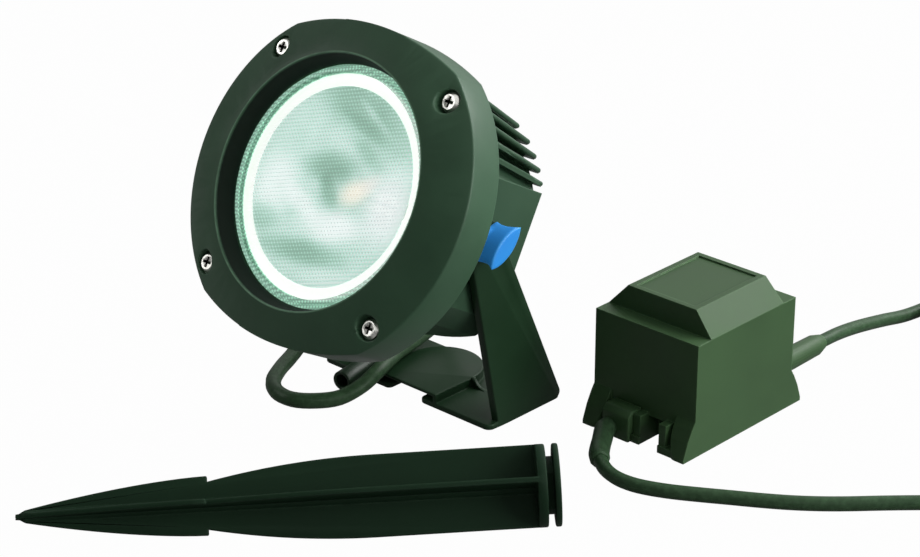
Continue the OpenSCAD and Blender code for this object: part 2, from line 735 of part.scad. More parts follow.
// Anti glare cap over the capsule, with the wire that carries it
module glare_cap() {
    color(steel) in_head() {
        difference() {
            translate([0, 0, cap_z]) cylinder(r1 = cap_r, r2 = cap_r - cap_taper, h = cap_h);
            translate([0, 0, cap_z - 1])
                cylinder(r = cap_r - cap_taper - bowl_wall, h = cap_h + 1 - bowl_wall);
        }
        for (side = [-1, 1]) translate([side * (bowl_hole_r - 2 * wire_r), 0, bowl_back_z])
            cylinder(r = wire_r, h = cap_z - bowl_back_z + 1);
    }
}

// Halogen capsule
module halogen_capsule() {
    long = bowl_depth * 0.45;
    color(glassy) in_head() {
        translate([0, 0, bowl_back_z]) cylinder(r = capsule_r, h = long - capsule_r);
        translate([0, 0, bowl_back_z + long - capsule_r]) sphere(capsule_r);
    }
}

// Ceramic base of the lamp
module lamp_base() {
    color(white) in_head() translate([0, 0, base_back_z]) difference() {
        cylinder(r = base_r, h = base_h);
        for (side = [-1, 1]) translate([side * pin_pitch / 2, 0, -1])
            cylinder(r = pin_r + thread_room, h = base_h / 2 + 1);
    }
}

// Two pins of the lamp
module lamp_pins() {
    color(steel) in_head() for (side = [-1, 1]) translate([side * pin_pitch / 2, 0, base_back_z - pin_in])
        cylinder(r = pin_r, h = pin_in + base_h / 2);
}

// Ceramic lamp holder
module lamp_holder() {
    color(white) in_head() translate([0, 0, holder_back_z]) difference() {
        cylinder(r = bowl_hole_r - 1, h = holder_h);
        for (side = [-1, 1]) translate([side * pin_pitch / 2, 0, holder_h - pin_in])
            cylinder(r = pin_r + 2 * thread_room, h = holder_h);
    }
}

// Screwed gland in the housing's rear wall
module cable_gland() {
    color(black) in_head() translate([gland_x, gland_v, -housing_back]) {
        translate([0, 0, -gland_nut_l]) cylinder(r = gland_nut_r, h = gland_nut_l, $fn = 6);
        translate([0, 0, -gland_l]) cylinder(r = boot_wide_r + 0.8, h = gland_l - gland_nut_l);
        cylinder(r = gland_r - thread_room, h = gland_l);
    }
}

// Rubber boot on the gland
module lead_boot() {
    color(black) in_head() translate([gland_x, gland_v, -housing_back - gland_l - boot_l])
        cylinder(r1 = lead_r + boot_lip, r2 = boot_wide_r, h = boot_l);
}

// Threaded brass insert in the housing's side
module insert(side) {
    color(brass) in_head() translate([side * housing_half_w, 0, 0]) rotate([0, -90 * side, 0])
        ring(insert_r, stud_r + thread_room, insert_l);
}

// Friction washer between the housing and an arm
module washer(side) {
    color(black) in_head() translate([side * housing_half_w, 0, 0]) rotate([0, 90 * side, 0])
        ring(arm_top_r - 0.6, stud_r + run_room, washer_t);
}

// Outline of a knob's wing: two shallow arcs with blunt ends
module wing_outline() {
    bow_r = (wing_l * wing_l + wing_t * wing_t) / (4 * wing_t);
    intersection_for(side = [-1, 1]) translate([side * (bow_r - wing_t / 2), 0]) circle(bow_r, $fn = 120);
}

// Wing knob
module knob(side) {
    color(blue) in_head() rotate([-knob_turn, 0, 0]) translate([side * knob_base, 0, 0])
        rotate([0, 90 * side, 0]) difference() {
        union() {
            linear_extrude(knob_out) wing_outline();
            cylinder(r = wing_t / 2 + knob_hub_wall, h = knob_hub_l);
        }
        for (end = [-1, 1])
            translate([0, end * (wing_l / 2 + knob_hollow_r - knob_hollow_in), knob_out * 0.4])
            rotate([0, 90, 0]) cylinder(r = knob_hollow_r, h = 2 * wing_t, center = true);
        translate([0, 0, -1]) cylinder(r = stud_r + thread_room, h = stud_reach + 1);
    }
}

// Steel stud that the knob turns in the insert
module stud(side) {
    color(steel) in_head() translate([side * stud_in, 0, 0]) rotate([0, 90 * side, 0])
        cylinder(r = stud_r, h = knob_base + stud_reach - stud_in);
}

// Outline of a bracket arm, seen along X: straight edges that run out of a round top
function tangent(p, c, r, s) = let (d = norm(c - p), a = atan2(c[1] - p[1], c[0] - p[0]) + s * asin(r / d))
    p + sqrt(d * d - r * r) * [cos(a), sin(a)];
module arm_outline() {
    top = [pivot_y, pivot_z];
    front = [arm_front_y, 0];
    rear = [arm_rear_y, 0];
    back = tangent(rear, top, arm_top_r, -1);
    lean = atan2(back[1], back[0] - arm_rear_y);
    setback = arm_round * tan(lean / 2);
    difference() {
        union() {
            polygon([front, rear - [setback, 0], rear + setback * [cos(lean), sin(lean)], back, top,
                tangent(front, top, arm_top_r, 1)]);
            translate(top) circle(arm_top_r);
            translate(rear + [-setback, arm_round]) circle(arm_round);
        }
        translate(top) circle(stud_r + run_room);
    }
}

// Shape of the stake pocket seen from above, open to the front
module pocket_plan(r) {
    circle(r);
    translate([-r, -foot_front]) square([2 * r, foot_front]);
}

// Slot for the stake's neck seen from above, with rounded corners at its mouth
module slot_plan() {
    circle(slot_r);
    translate([-slot_r, -foot_front - 1]) square([2 * slot_r, foot_front + 1]);
    for (side = [0, 1]) mirror([side, 0]) difference() {
        translate([slot_r - 1, -foot_front - 1]) square(slot_round + 1);
        translate([slot_r + slot_round, slot_round - foot_front]) circle(slot_round);
    }
}

// Yoke bracket: foot plate with the stake pocket, and two arms
module yoke_bracket() {
    color(green) difference() {
        union() {
            linear_extrude(foot_t) round_rect(-arm_out, -foot_front, arm_out, foot_rear, foot_round);
            for (side = [-1, 1]) translate([side * (arm_in + arm_t / 2), 0, 0]) rotate([90, 0, 90])
                linear_extrude(arm_t, center = true) arm_outline();
            linear_extrude(roof_top) pocket_plan(pocket_r);
            for (side = [0, 1]) mirror([side, 0, 0]) translate([0, rib_t / 2, 0]) rotate([90, 0, 0])
                linear_extrude(rib_t) difference() {
                    translate([pocket_r - 0.5, foot_t - 0.5])
                        square([rib_run + 0.5, roof_top - foot_t + 0.5]);
                    translate([pocket_r + rib_run, foot_t + rib_run]) circle(rib_run);
                }
        }
        translate([0, 0, foot_t]) linear_extrude(pocket_top - foot_t) {
            circle(pocket_in_r);
            translate([-pocket_in_r, -foot_front - 1]) square([2 * pocket_in_r, foot_front + 1]);
        }
        translate([0, 0, -1]) linear_extrude(foot_t + 2) slot_plan();
    }
}

// Half width of the stake's blades at a place along it
function blade_front(s) = tip_r + (barb_r - tip_r) * (1 - pow(1 - (s - tip_l) / (barb_at - tip_l), 1.6));
function blade_rear(t) = barb_neck_r + (blade_r - barb_neck_r) * (1 - pow(1 - t, 2));

// Ground stake: four barbed blades on a tapered core, and the grooved head for the pocket
module ground_stake() {
    head_at = stake_l - stake_head_l;
    head_z = stake_flange_r * cos(stake_pitch) + stake_head_l * sin(stake_pitch) + rest_gap;
    steps = 14;
    front = [for (i = [0 : steps]) let (s = tip_l + (barb_at - tip_l) * i / steps) [blade_front(s), s]];
    rear = [for (i = [0 : steps]) [blade_rear(i / steps), barb_at + blade_swell * i / steps]];
    edge = concat([[0, 0]], front, rear, [[blade_r, head_at + 1], [0, head_at + 1]]);
    color(green) translate([stake_head[0], stake_head[1], head_z]) rotate([0, 90 - stake_pitch, stake_yaw])
        rotate([0, 0, stake_roll]) translate([0, 0, -stake_l]) {
        for (a = [0 : 90 : 270]) rotate([0, 0, a]) rotate([90, 0, 0])
            linear_extrude(blade_t, center = true) polygon(edge);
        cylinder(r1 = 0, r2 = tip_r, h = tip_l);
        translate([0, 0, tip_l]) cylinder(r1 = tip_r, r2 = stake_core_r, h = head_at - tip_l + 1);
        translate([0, 0, head_at]) cylinder(r = stake_flange_r, h = stake_flange_t);
        translate([0, 0, head_at + 1]) rotate([0, 0, neck_turn]) stake_neck(stake_head_l - 2);
        translate([0, 0, stake_l - stake_disc_t]) cylinder(r = stake_flange_r, h = stake_disc_t);
    }
}

// Neck of the stake: round, with two flats that slide along the bracket's slot
module stake_neck(long) {
    intersection() {
        cylinder(r = stake_neck_round, h = long);
        translate([-stake_neck_r, -stake_neck_round, 0]) cube([2 * stake_neck_r, 2 * stake_neck_round, long]);
    }
}

// Roof of the transformer: a ridge with sloped long sides and steep ends
module roof_shape(drop) {
    half_l = trafo_l / 2 - trafo_ledge;
    run = (trafo_w - trafo_top_w) / 2;
    top = trafo_top_w / 2 - drop * 0.4;
    across = [[-trafo_w / 2 + drop, 0], [trafo_w / 2 - drop, 0], [top, trafo_roof_h - drop],
        [-top, trafo_roof_h - drop]];
    endwise = [[-half_l + drop, 0], [half_l - drop, 0], [half_l - drop - trafo_end_slope, trafo_roof_h],
        [-half_l + drop + trafo_end_slope, trafo_roof_h]];
    intersection() {
        rotate([90, 0, 0]) linear_extrude(trafo_l, center = true) polygon(across);
        rotate([90, 0, 90]) linear_extrude(trafo_w + run, center = true) polygon(endwise);
    }
}

// Flared corner foot of the transformer, drawn at its front right corner
module corner_foot() {
    long = flare_out + 1;
    translate([trafo_w / 2 - flare_w, -trafo_l / 2, 0]) intersection() {
        rotate([90, 0, 90]) linear_extrude(flare_w) polygon([[1, 0], [1, flare_h], [0, flare_h],
            [-flare_out * 0.3, flare_h * 0.8], [-flare_out * 0.66, flare_h * 0.5],
            [-flare_out * 0.9, flare_h * 0.22], [-flare_out, toe_h], [-flare_out, 0]]);
        linear_extrude(flare_h) {
            translate([foot_plan_r, -flare_out]) square([flare_w - foot_plan_r, long]);
            translate([0, foot_plan_r - flare_out]) square([flare_w, long - foot_plan_r]);
            translate([foot_plan_r, foot_plan_r - flare_out]) circle(foot_plan_r);
        }
    }
}

// Low tab between the feet of one end, and the two posts beside its fixing notch
module notch_tab() {
    out = flare_out - tab_back;
    post_out = flare_out - post_back;
    translate([1 - trafo_w / 2, -trafo_l / 2 - out, 0]) cube([trafo_w - 2, out + 1, tab_t]);
    for (side = [-1, 1]) translate([notch_x + side * (notch_w + post_w) / 2, -trafo_l / 2, 0])
        translate([-post_w / 2, -post_out, 0]) cube([post_w, post_out + 1, post_h]);
}

// Block of the fixing notch of one end, grown by a margin: the hollow itself, or its walls inside the case
module notch_block(margin, ahead) {
    translate([notch_x - notch_w / 2 - margin, -trafo_l / 2 - ahead, -1])
        cube([notch_w + 2 * margin, notch_in + margin + ahead, notch_h + margin + 1]);
}

// Walls round the fixing notches, from the floor up
module notch_walls(margin) {
    intersection() {
        translate([-trafo_w, -trafo_l, 0]) cube([2 * trafo_w, 2 * trafo_l, trafo_h]);
        for (turn = [0, 180]) rotate([0, 0, turn]) notch_block(margin, -1);
    }
}

// Case of the transformer
module trafo_case() {
    half_w = trafo_w / 2;
    half_l = trafo_l / 2;
    panel_w = trafo_top_w - 2 * trafo_border;
    panel_l = trafo_l - 2 * (trafo_ledge + trafo_end_slope + trafo_border);
    color(green) translate([trafo_x, trafo_y, 0]) difference() {
        union() {
            difference() {
                union() {
                    translate([-half_w, -half_l, 0]) cube([trafo_w, trafo_l, trafo_h]);
                    translate([0, 0, trafo_h - 0.01]) roof_shape(0);
                    for (a = [0, 1], b = [0, 1]) mirror([a, 0, 0]) mirror([0, b, 0]) corner_foot();
                    for (turn = [0, 180]) rotate([0, 0, turn]) notch_tab();
                }
                translate([-half_w + trafo_wall, -half_l + trafo_wall, -1])
                    cube([trafo_w - 2 * trafo_wall, trafo_l - 2 * trafo_wall, trafo_h + 1 - trafo_wall]);
                translate([0, 0, trafo_h - trafo_wall - 0.01]) roof_shape(trafo_wall);
            }
            notch_walls(notch_wall);
        }
        for (turn = [0, 180]) rotate([0, 0, turn]) notch_block(0, 2 * flare_out);
        translate([mains_x - trafo_x, half_l, mains_z]) rotate([-90, 0, 0])
            cylinder(r = mains_boot_r + fit, h = 2 * flare_out);
        translate([-panel_w / 2, -panel_l / 2, trafo_h + trafo_roof_h - trafo_panel])
            cube([panel_w, panel_l, 2]);
    }
}

// Cast resin that closes the case
module trafo_resin() {
    wide = trafo_w - 2 * trafo_wall;
    long = trafo_l - 2 * trafo_wall;
    color(black) translate([trafo_x, trafo_y, 0]) difference() {
        translate([-wide / 2, -long / 2, case_lift]) cube([wide, long, resin_t]);
        for (turn = [0, 180]) rotate([0, 0, turn]) notch_block(notch_wall, trafo_wall);
    }
}

// Laminated core, standing on the resin
module trafo_core() {
    color(steel) translate([trafo_x, trafo_y, resin_t + case_lift]) difference() {
        translate([-core_w / 2, -core_l / 2, 0]) cube([core_w, core_l, core_h]);
        for (side = [-1, 1])
            translate([-core_w, side * core_win_y - core_win_l / 2, (core_h - core_win_h) / 2])
            cube([2 * core_w, core_win_l, core_win_h]);
    }
}

// Winding on the core's middle leg
module trafo_winding() {
    high = core_win_h - 2 * fit;
    leg = core_win_y - core_win_l / 2 + fit;
    out_l = core_win_y + core_win_l / 2 - fit;
    out_w = core_w / 2 + wrap_t;
    color(copper) translate([trafo_x, trafo_y, resin_t + case_lift + core_h / 2 - high / 2]) difference() {
        linear_extrude(high) round_rect(-out_w, -out_l, out_w, out_l, wrap_round);
        translate([-core_w / 2 - fit, -leg, -1]) cube([core_w + 2 * fit, 2 * leg, high + 2]);
    }
}

// Strain relief block of the low voltage lead, standing on the tab
module lv_outlet() {
    lip = trafo_front - flare_out + tab_back - fit;
    color(green) translate([outlet_x - outlet_w / 2, 0, 0]) rotate([90, 0, 90]) linear_extrude(outlet_w)
        polygon([[trafo_front, tab_t], [trafo_front, outlet_h], [outlet_front + outlet_cut, outlet_h],
            [outlet_front, outlet_h - outlet_cut], [outlet_front, case_lift], [lip, case_lift],
            [lip, tab_t]]);
}

// Boot of the low voltage lead
module lv_boot() {
    color(black) tube(lv_boot_route, low_boot_r, 12, lv_dir, lv_turn);
}

// Boot of the mains lead
module mains_boot() {
    neck = mains_boot_l - 6;
    color(black) along([mains_x, trafo_back, mains_z], [0, 1, 0]) {
        cylinder(r1 = mains_boot_r, r2 = mains_boot_r - boot_lip, h = neck);
        translate([0, 0, neck])
            cylinder(r1 = mains_boot_r - boot_lip, r2 = mains_r + boot_lip, h = mains_boot_l - neck);
    }
}

// Free stretch of the lamp lead that bends as the lamp tilts
module lamp_lead_flex() {
    color(black) tube(flex_route, lead_r, 8, boot_dir, flex_dir);
}

// Lamp lead from the foot round its loop to the coil
module lamp_lead() {
    color(black) tube(lamp_route, lead_r, 8, flex_dir, [0, 1, 0]);
}

// Coiled spare length of the lamp lead
module lamp_coil() {
    color(black) coil(lamp_coil_points, lamp_coil_in, lamp_coil_out, lead_r);
}

// End of the lamp lead, from the coil to its connector
module lamp_tail() {
    color(black) tube(tail_route, lead_r, 8, [0, -1, 0], -connector_dir);
}

// Barrel shared by the two halves of the low voltage connector
module connector_barrel(lead, long) {
    cylinder(r1 = lead + boot_lip, r2 = connector_r - boot_lip, h = sleeve_l);
    translate([0, 0, sleeve_l]) cylinder(r = connector_r, h = long - sleeve_l);
}

// Socket on the end of the lamp lead, resting on the foot plate
module lamp_connector() {
    color(black) along(connector_end, -connector_dir) difference() {
        connector_barrel(lead_r, connector_l);
        translate([0, 0, connector_l - nose_l - 1]) cylinder(r = nose_r + 0.2, h = nose_l + 2);
    }
}

// Low voltage lead of the transformer
module lv_lead() {
    color(black) tube(lv_route, low_r, 8, lv_turn, lv_plug_dir);
}

// Plug on the end of the low voltage lead
module lv_plug() {
    color(black) along(lv_end, lv_plug_dir) difference() {
        union() {
            connector_barrel(low_r, lv_plug_l - nose_l);
            translate([0, 0, lv_plug_l - nose_l - 1]) cylinder(r = nose_r, h = nose_l + 1);
        }
        for (side = [-1, 1]) translate([0, side * contact_pitch / 2, lv_plug_l - contact_in])
            cylinder(r = contact_r + thread_room, h = contact_in + 1);
    }
}

// Contacts of the low voltage plug
module lv_pins() {
    color(brass) along(lv_end, lv_plug_dir) for (side = [-1, 1])
        translate([0, side * contact_pitch / 2, lv_plug_l - contact_in])
        cylinder(r = contact_r, h = contact_in + 2);
}

// Mains lead from the case to its coil
module mains_lead() {
    color(black) tube(mains_route, mains_r, 8, [0, 1, 0], [0, 1, 0]);
}

// Coiled spare length of the mains lead
module mains_coil() {
    color(black) coil(mains_coil_points, mains_coil_in, mains_coil_out, mains_r);
}

// End of the mains lead, from the coil to its plug
module mains_tail() {
    color(black) tube(mains_tail_route, mains_r, 8, [0, -1, 0], [0, -1, 0]);
}

// Round mains plug
module mains_plug() {
    color(black) along(mains_plug_end, [0, -1, 0]) difference() {
        union() {
            cylinder(r1 = mains_r + 2 * boot_lip, r2 = plug_neck_r - 4 * boot_lip, h = sleeve_l);
            translate([0, 0, sleeve_l]) cylinder(r1 = plug_neck_r, r2 = plug_r, h = plug_neck_l);
            translate([0, 0, sleeve_l + plug_neck_l])
                cylinder(r = plug_r, h = plug_l - sleeve_l - plug_neck_l);
        }
        for (side = [-1, 1]) translate([0, side * plug_pitch / 2, plug_l - plug_pin_in])
            cylinder(r = pin_root_r + thread_room, h = plug_pin_in + 1);
    }
}

// Pins of the mains plug
module mains_pins() {
    color(steel) along(mains_plug_end, [0, -1, 0]) for (side = [-1, 1])
        translate([0, side * plug_pitch / 2, plug_l]) {
        translate([0, 0, -plug_pin_in]) cylinder(r = pin_root_r, h = plug_pin_in + 1);
        cylinder(r = plug_pin_r, h = plug_pin_l);
        translate([0, 0, plug_pin_l]) cylinder(r1 = plug_pin_r, r2 = plug_pin_r - 1, h = 2);
    }
}

// Band round a coil
module coil_tie(mid, r_out, turns, layers, step, r) {
    r_in = r_out - step * turns / layers;
    wide = r_out - r_in + 2 * r;
    high = step * (layers - 1) + 2 * r;
    over = tie_room + tie_t;
    color(black) translate([mid[0], mid[1], 0.1]) rotate([0, 0, tie_angle]) translate([r_in - r, 0, over])
        rotate([90, 0, 0]) linear_extrude(tie_w, center = true) difference() {
            round_rect(-over, -over, wide + over, high + over, tie_round);
            round_rect(-tie_room, -tie_room, wide + tie_room, high + tie_room, tie_round - tie_t);
        }
}
module coil_tie_lamp() {
    coil_tie(lamp_coil_mid, lamp_coil_r, lamp_turns, lamp_layers, coil_step, lead_r);
}
module coil_tie_mains() {
    coil_tie(mains_coil_mid, mains_coil_r, mains_turns, mains_layers, mains_step, mains_r);
}

lamp_housing();
front_bezel();
glass_gasket();
front_glass();
glass_seal();
screw(-1, 1);  // screw_1
screw(1, 1);  // screw_2
screw(-1, -1);  // screw_3
screw(1, -1);  // screw_4
reflector_ring();
reflector_bowl();
glare_cap();
halogen_capsule();
lamp_base();
lamp_pins();
lamp_holder();
cable_gland();
lead_boot();
insert(1);  // insert_right
insert(-1);  // insert_left
washer(1);  // washer_right
washer(-1);  // washer_left
knob(1);  // knob_right
knob(-1);  // knob_left
stud(1);  // stud_right
stud(-1);  // stud_left
yoke_bracket();
ground_stake();
trafo_case();
trafo_resin();
trafo_core();
trafo_winding();
lv_outlet();
lv_boot();
mains_boot();
lamp_lead_flex();
lamp_lead();
lamp_coil();
lamp_tail();
lamp_connector();
lv_lead();
lv_plug();
lv_pins();
mains_lead();
mains_coil();
mains_tail();
mains_plug();
mains_pins();
coil_tie_lamp();
coil_tie_mains();
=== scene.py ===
"""Underwater pond light set: finned lamp head on its yoke, ground stake, potted transformer and leads."""
import json
from math import cos, pi, radians, sin

import bmesh
import bpy
from bpy.props import FloatProperty, FloatVectorProperty, PointerProperty
from mathutils import Matrix, Vector


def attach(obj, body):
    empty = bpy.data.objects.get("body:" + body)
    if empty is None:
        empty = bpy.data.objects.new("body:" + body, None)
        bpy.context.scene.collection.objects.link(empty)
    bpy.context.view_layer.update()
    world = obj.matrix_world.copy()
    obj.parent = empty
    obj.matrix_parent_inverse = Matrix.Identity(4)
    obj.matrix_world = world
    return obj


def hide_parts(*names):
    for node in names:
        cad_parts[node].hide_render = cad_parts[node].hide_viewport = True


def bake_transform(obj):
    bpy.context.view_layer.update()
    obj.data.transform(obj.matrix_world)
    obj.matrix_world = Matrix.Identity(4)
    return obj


bl_info = {
    "name": "Pond Light Set",
    "version": (1, 0, 0),
    "blender": (4, 5, 0),
    "location": "View3D > Sidebar > Pond Light",
    "description": "Dresses the underwater pond light: leads, lamp, mouldings, finishes and studio",
    "category": "Object",
}

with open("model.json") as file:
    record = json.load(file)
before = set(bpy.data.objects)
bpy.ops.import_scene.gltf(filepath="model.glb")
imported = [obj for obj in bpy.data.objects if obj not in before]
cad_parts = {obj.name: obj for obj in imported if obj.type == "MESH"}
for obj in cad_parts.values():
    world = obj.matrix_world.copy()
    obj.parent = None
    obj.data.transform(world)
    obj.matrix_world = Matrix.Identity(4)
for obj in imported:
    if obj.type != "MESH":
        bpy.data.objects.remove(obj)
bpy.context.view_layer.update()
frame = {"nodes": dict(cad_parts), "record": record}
NODES = frame["nodes"]
BODY_OF = {node: body for body, nodes in frame["record"]["behaviour"]["bodies"].items() for node in nodes}

# The lamp head's own directions at the tilt axis: across, up the face, forward
TILT = radians(29.3)
PIVOT = Vector((0.0, -0.0315, 0.1056))
HEAD = Matrix.Translation(PIVOT) @ Matrix.Rotation(pi / 2 - TILT, 4, "X")

# Front glass: levels along the lamp's axis and radii, as in the solid
RIM_BACK, RIM_FRONT, FACE_FRONT, FACE_BACK = 0.0485, 0.0525, 0.0564, 0.0524
RIM_R, DOME_R, DOME_EDGE, HOLLOW_R, BOWL_R = 0.0650, 0.0585, 0.0008, 0.0565, 0.0499

# Prisms of the front glass: turn in degrees, depth as a share of their pitch, weight of their rows
PRISM_TURN, PRISM_DEPTH, PRISM_ROWS = 18.0, 0.22, 0.25

# Bezel: radius of its mouth, and the screws' places across and up, the level of their tops and their recess
MOUTH_R, SCREW_AT, SCREW_TOP, RECESS_R = 0.0635, 0.05625, 0.0575, 0.0028

# Cooling fins: number, first one's height, pitch and thickness
FIN_COUNT, FIN_LOW, FIN_PITCH, FIN_T = 5, 0.035, 0.0058, 0.0026

# Their outline, its rounding behind and their spread towards the front, and the housing that carries them
FIN_R, FIN_ROUND, FIN_SPREAD = 0.0635, 0.005, 2.7
HOUSING_BACK, HOUSING_HALF_W = 0.038, 0.053

# Rods along their edges: levels of the points, and thickness as a share of the fins'
FIN_LEVELS = (0.036, 0.012, -0.012, -0.0330, -0.0345, -0.0358, -0.03665)
FIN_BEAD = 0.98

# Leads, in millimetres: gap over the floor, and where the lamp lead's bend ends
FLOOR_GAP = 0.25
FLEX_END = (-25, 14, 13.4)

# Lamp lead behind the head: where its boot ends, and its straight run out of the boot
BOOT_END = HEAD @ Vector((-0.028, -0.005, -0.074))
BOOT_RUN = 0.007 * Vector((0, cos(TILT), -sin(TILT)))

# Coils: distance of the turns in diameters, gap over the floor, points on a turn, places, turns and layers
COIL_PITCH, COIL_LIFT, COIL_POINTS = 1.08, 0.00115, 24
LAMP_COIL_MID, LAMP_COIL_TURNS, LAMP_COIL_LAYERS = (-0.158, 0.104), 11.5, 4
MAINS_COIL_LEFT, MAINS_COIL_Y, MAINS_COIL_TURNS, MAINS_COIL_LAYERS = 0.1412, 0.258, 7.5, 2

# Sleeve of the low voltage lead: shares of its radius at its mouth
SLEEVE_MOUTH = (0.80, 0.93, 0.985)

# Rounded copies: welding distances
WELD, BEZEL_WELD = 1e-5, 1e-4

# Least angle of a hard edge, least angle to the edges at its ends, and from where such an edge carries it on
HARD, NARROW, STRAIGHT = radians(28), radians(25), radians(155)

# Room that a rounding needs, in widths: across the faces beside it and along the edges at its ends
ROOM_ACROSS, ROOM_ALONG = 2.5, 1.3

# Pieces with rounded edges: rounding as a share of the set's own, segments, welding distance
SOFTENED = (
    ("front_bezel", 1.1, 3, BEZEL_WELD),
    ("yoke_bracket", 1.1, 3, WELD),
    ("ground_stake", 1.0, 2, WELD),
    ("lv_outlet", 1.0, 2, WELD),
    ("mains_boot", 1.0, 2, WELD),
    ("lead_boot", 1.0, 2, WELD),
    ("lamp_connector", 0.6, 2, WELD),
    ("mains_plug", 1.1, 2, WELD),
    ("lv_plug", 0.6, 2, WELD),
)
SCREWS = ("screw_1", "screw_2", "screw_3", "screw_4")
SCREW_ROUND, SCREW_SEGMENTS = 0.4, 2

# Knobs, rounded all over: voxel as a share of the set's own rounding, passes of smoothing
KNOBS = ("knob_right", "knob_left")
KNOB_VOXEL, KNOB_PASSES = 0.7, 30

# Camera, fitted to the photograph's view
CAMERA_AT = (0.8675, -0.9152, 0.6274)
CAMERA_TURN = (radians(65.658), 0, radians(43.034))
CAMERA_LENS, CAMERA_SENSOR = 105.65, 36

# Studio: floor, how white it shows to the camera and in gloss, where the surround is bright, soft boxes
FLOOR_SIZE, FLOOR_LEVEL, PAPER = 8, -0.0004, (0.22, 0.22, 0.22)
PAPER_SEEN, PAPER_MIRRORED = 0.985, 0.15
LIGHT_FROM, MIRRORED_FROM = (0.50, 0.62, 0.60), (0.35, 0.75, 0.56)
LAMP_AIM = Vector((0.03, 0.0, 0.07))
LAMPS = (
    ("back_box", (0.60, 1.35, 1.25), 1.2, 23.0),
    ("side_box", (1.7, 0.45, 0.75), 1.0, 16.0),
    ("front_box", (-1.05, -1.30, 0.70), 0.6, 1.5),
    ("face_box", (-0.50, -0.38, 0.42), 0.3, 0.55),
    ("edge_box", (1.15, -1.00, 1.00), 0.4, 1.3),
)

# Lighter and darker zones of painted light and reflection on the glass: middle, half widths, turn in degrees
# and strength
PAINTED_GLASS_LIGHT = (
    ((0.004, 0.041), (0.050, 0.020), -16.0, -0.30),
    ((0.012, 0.0385), (0.020, 0.0028), -26.0, 0.20),
    ((0.008, 0.0325), (0.026, 0.005), -17.0, -0.14),
    ((0.016, 0.0200), (0.018, 0.006), -24.0, -0.18),
    ((-0.0035, 0.009), (0.023, 0.0115), 10.0, -0.32),
    ((0.0000, -0.003), (0.013, 0.007), -42.0, -0.27),
    ((-0.034, -0.008), (0.020, 0.022), 0.0, 0.26),
    ((-0.014, -0.012), (0.018, 0.008), -20.0, 0.22),
    ((0.009, -0.0180), (0.030, 0.011), 8.0, 0.32),
    ((-0.004, -0.0345), (0.040, 0.0090), 5.0, -0.34),
    ((-0.036, -0.025), (0.014, 0.010), 0.0, -0.22),
    ((0.016, -0.043), (0.024, 0.008), 12.0, 0.08),
    ((0.039, 0.000), (0.017, 0.028), 0.0, 0.26),
)

# Tinted zones of painted light and reflection on the glass: middle, half widths, turn in degrees, where
# fading starts, strength and colour
PAINTED_GLASS_TINTS = (
    ((0.036, -0.004), (0.022, 0.026), 0.0, 0.2, 0.40, (0.92, 0.92, 0.95)),
    ((0.021, 0.005), (0.014, 0.006), 42.0, 0.2, 0.6, (1.0, 0.90, 0.88)),
    ((0.0155, 0.0005), (0.013, 0.009), 30.0, 0.1, 0.95, (1.0, 0.95, 0.84)),
)


def colour(name, description, default):
    return FloatVectorProperty(name=name, description=description, subtype="COLOR", size=3, min=0, max=1,
                               default=default)


def length(name, description, default):
    return FloatProperty(name=name, description=description, unit="LENGTH", min=0, precision=5,
                         default=default)


class PondLightFinishes(bpy.types.PropertyGroup):
    plastic: colour("Lamp plastic", "Grey green of the housing and bezel", (0.048, 0.109, 0.061))
    bracket: colour("Bracket plastic", "Dark green of the bracket", (0.016, 0.046, 0.020))
    stake: colour("Stake plastic", "Black green of the ground stake", (0.0115, 0.0335, 0.0160))
    case: colour("Case plastic", "Grey green of the transformer", (0.059, 0.126, 0.051))
    rubber: colour("Rubber", "Black green of the leads, boots and seals", (0.042, 0.090, 0.042))
    knob: colour("Knob", "Blue of the clamping knobs", (0.040, 0.345, 1.0))
    glass: colour("Front glass", "Green of the prismatic glass", (0.31, 0.53, 0.42))
    enamel: colour("Lamp rim", "White of the reflector's flat rim", (0.97, 0.97, 0.94))
    steel: colour("Stainless steel", "Screws, studs and pins", (0.92, 0.92, 0.86))
    edge_round: length("Edge rounding", "Rounding of moulded edges", 0.0007)
    prism_pitch: length("Prism pitch", "Distance between the small prisms of the front glass", 0.0019)


class PondLightLeads(bpy.types.PropertyGroup):
    lead_d: length("Lamp lead", "Diameter of the lamp lead", 0.0082)
    low_d: length("Low voltage lead", "Diameter of the low voltage lead", 0.0072)
    mains_d: length("Mains lead", "Diameter of the mains lead", 0.0070)
    sleeve_d: length("Sleeve", "Diameter of the low voltage lead's sleeve at the transformer", 0.0104)
    lamp_coil_r: length("Lamp coil", "Radius of the lamp lead's coil at its outer turn", 0.0575)
    mains_coil_r: length("Mains coil", "Radius of the mains lead's coil at its outer turn", 0.055)


class Wire:
    """A value or colour that comes out of a node, with Python's operators on values."""

    def __init__(self, tree, socket):
        self.tree = tree
        self.socket = socket

    def maths(self, operation, first, second):
        return self.tree.node("ShaderNodeMath", {"operation": operation}, {0: first, 1: second})

    def __add__(self, other):
        return self.maths("ADD", self, other)

    def __radd__(self, other):
        return self.maths("ADD", other, self)

    def __sub__(self, other):
        return self.maths("SUBTRACT", self, other)

    def __rsub__(self, other):
        return self.maths("SUBTRACT", other, self)

    def __mul__(self, other):
        return self.maths("MULTIPLY", self, other)

    def __rmul__(self, other):
        return self.maths("MULTIPLY", other, self)


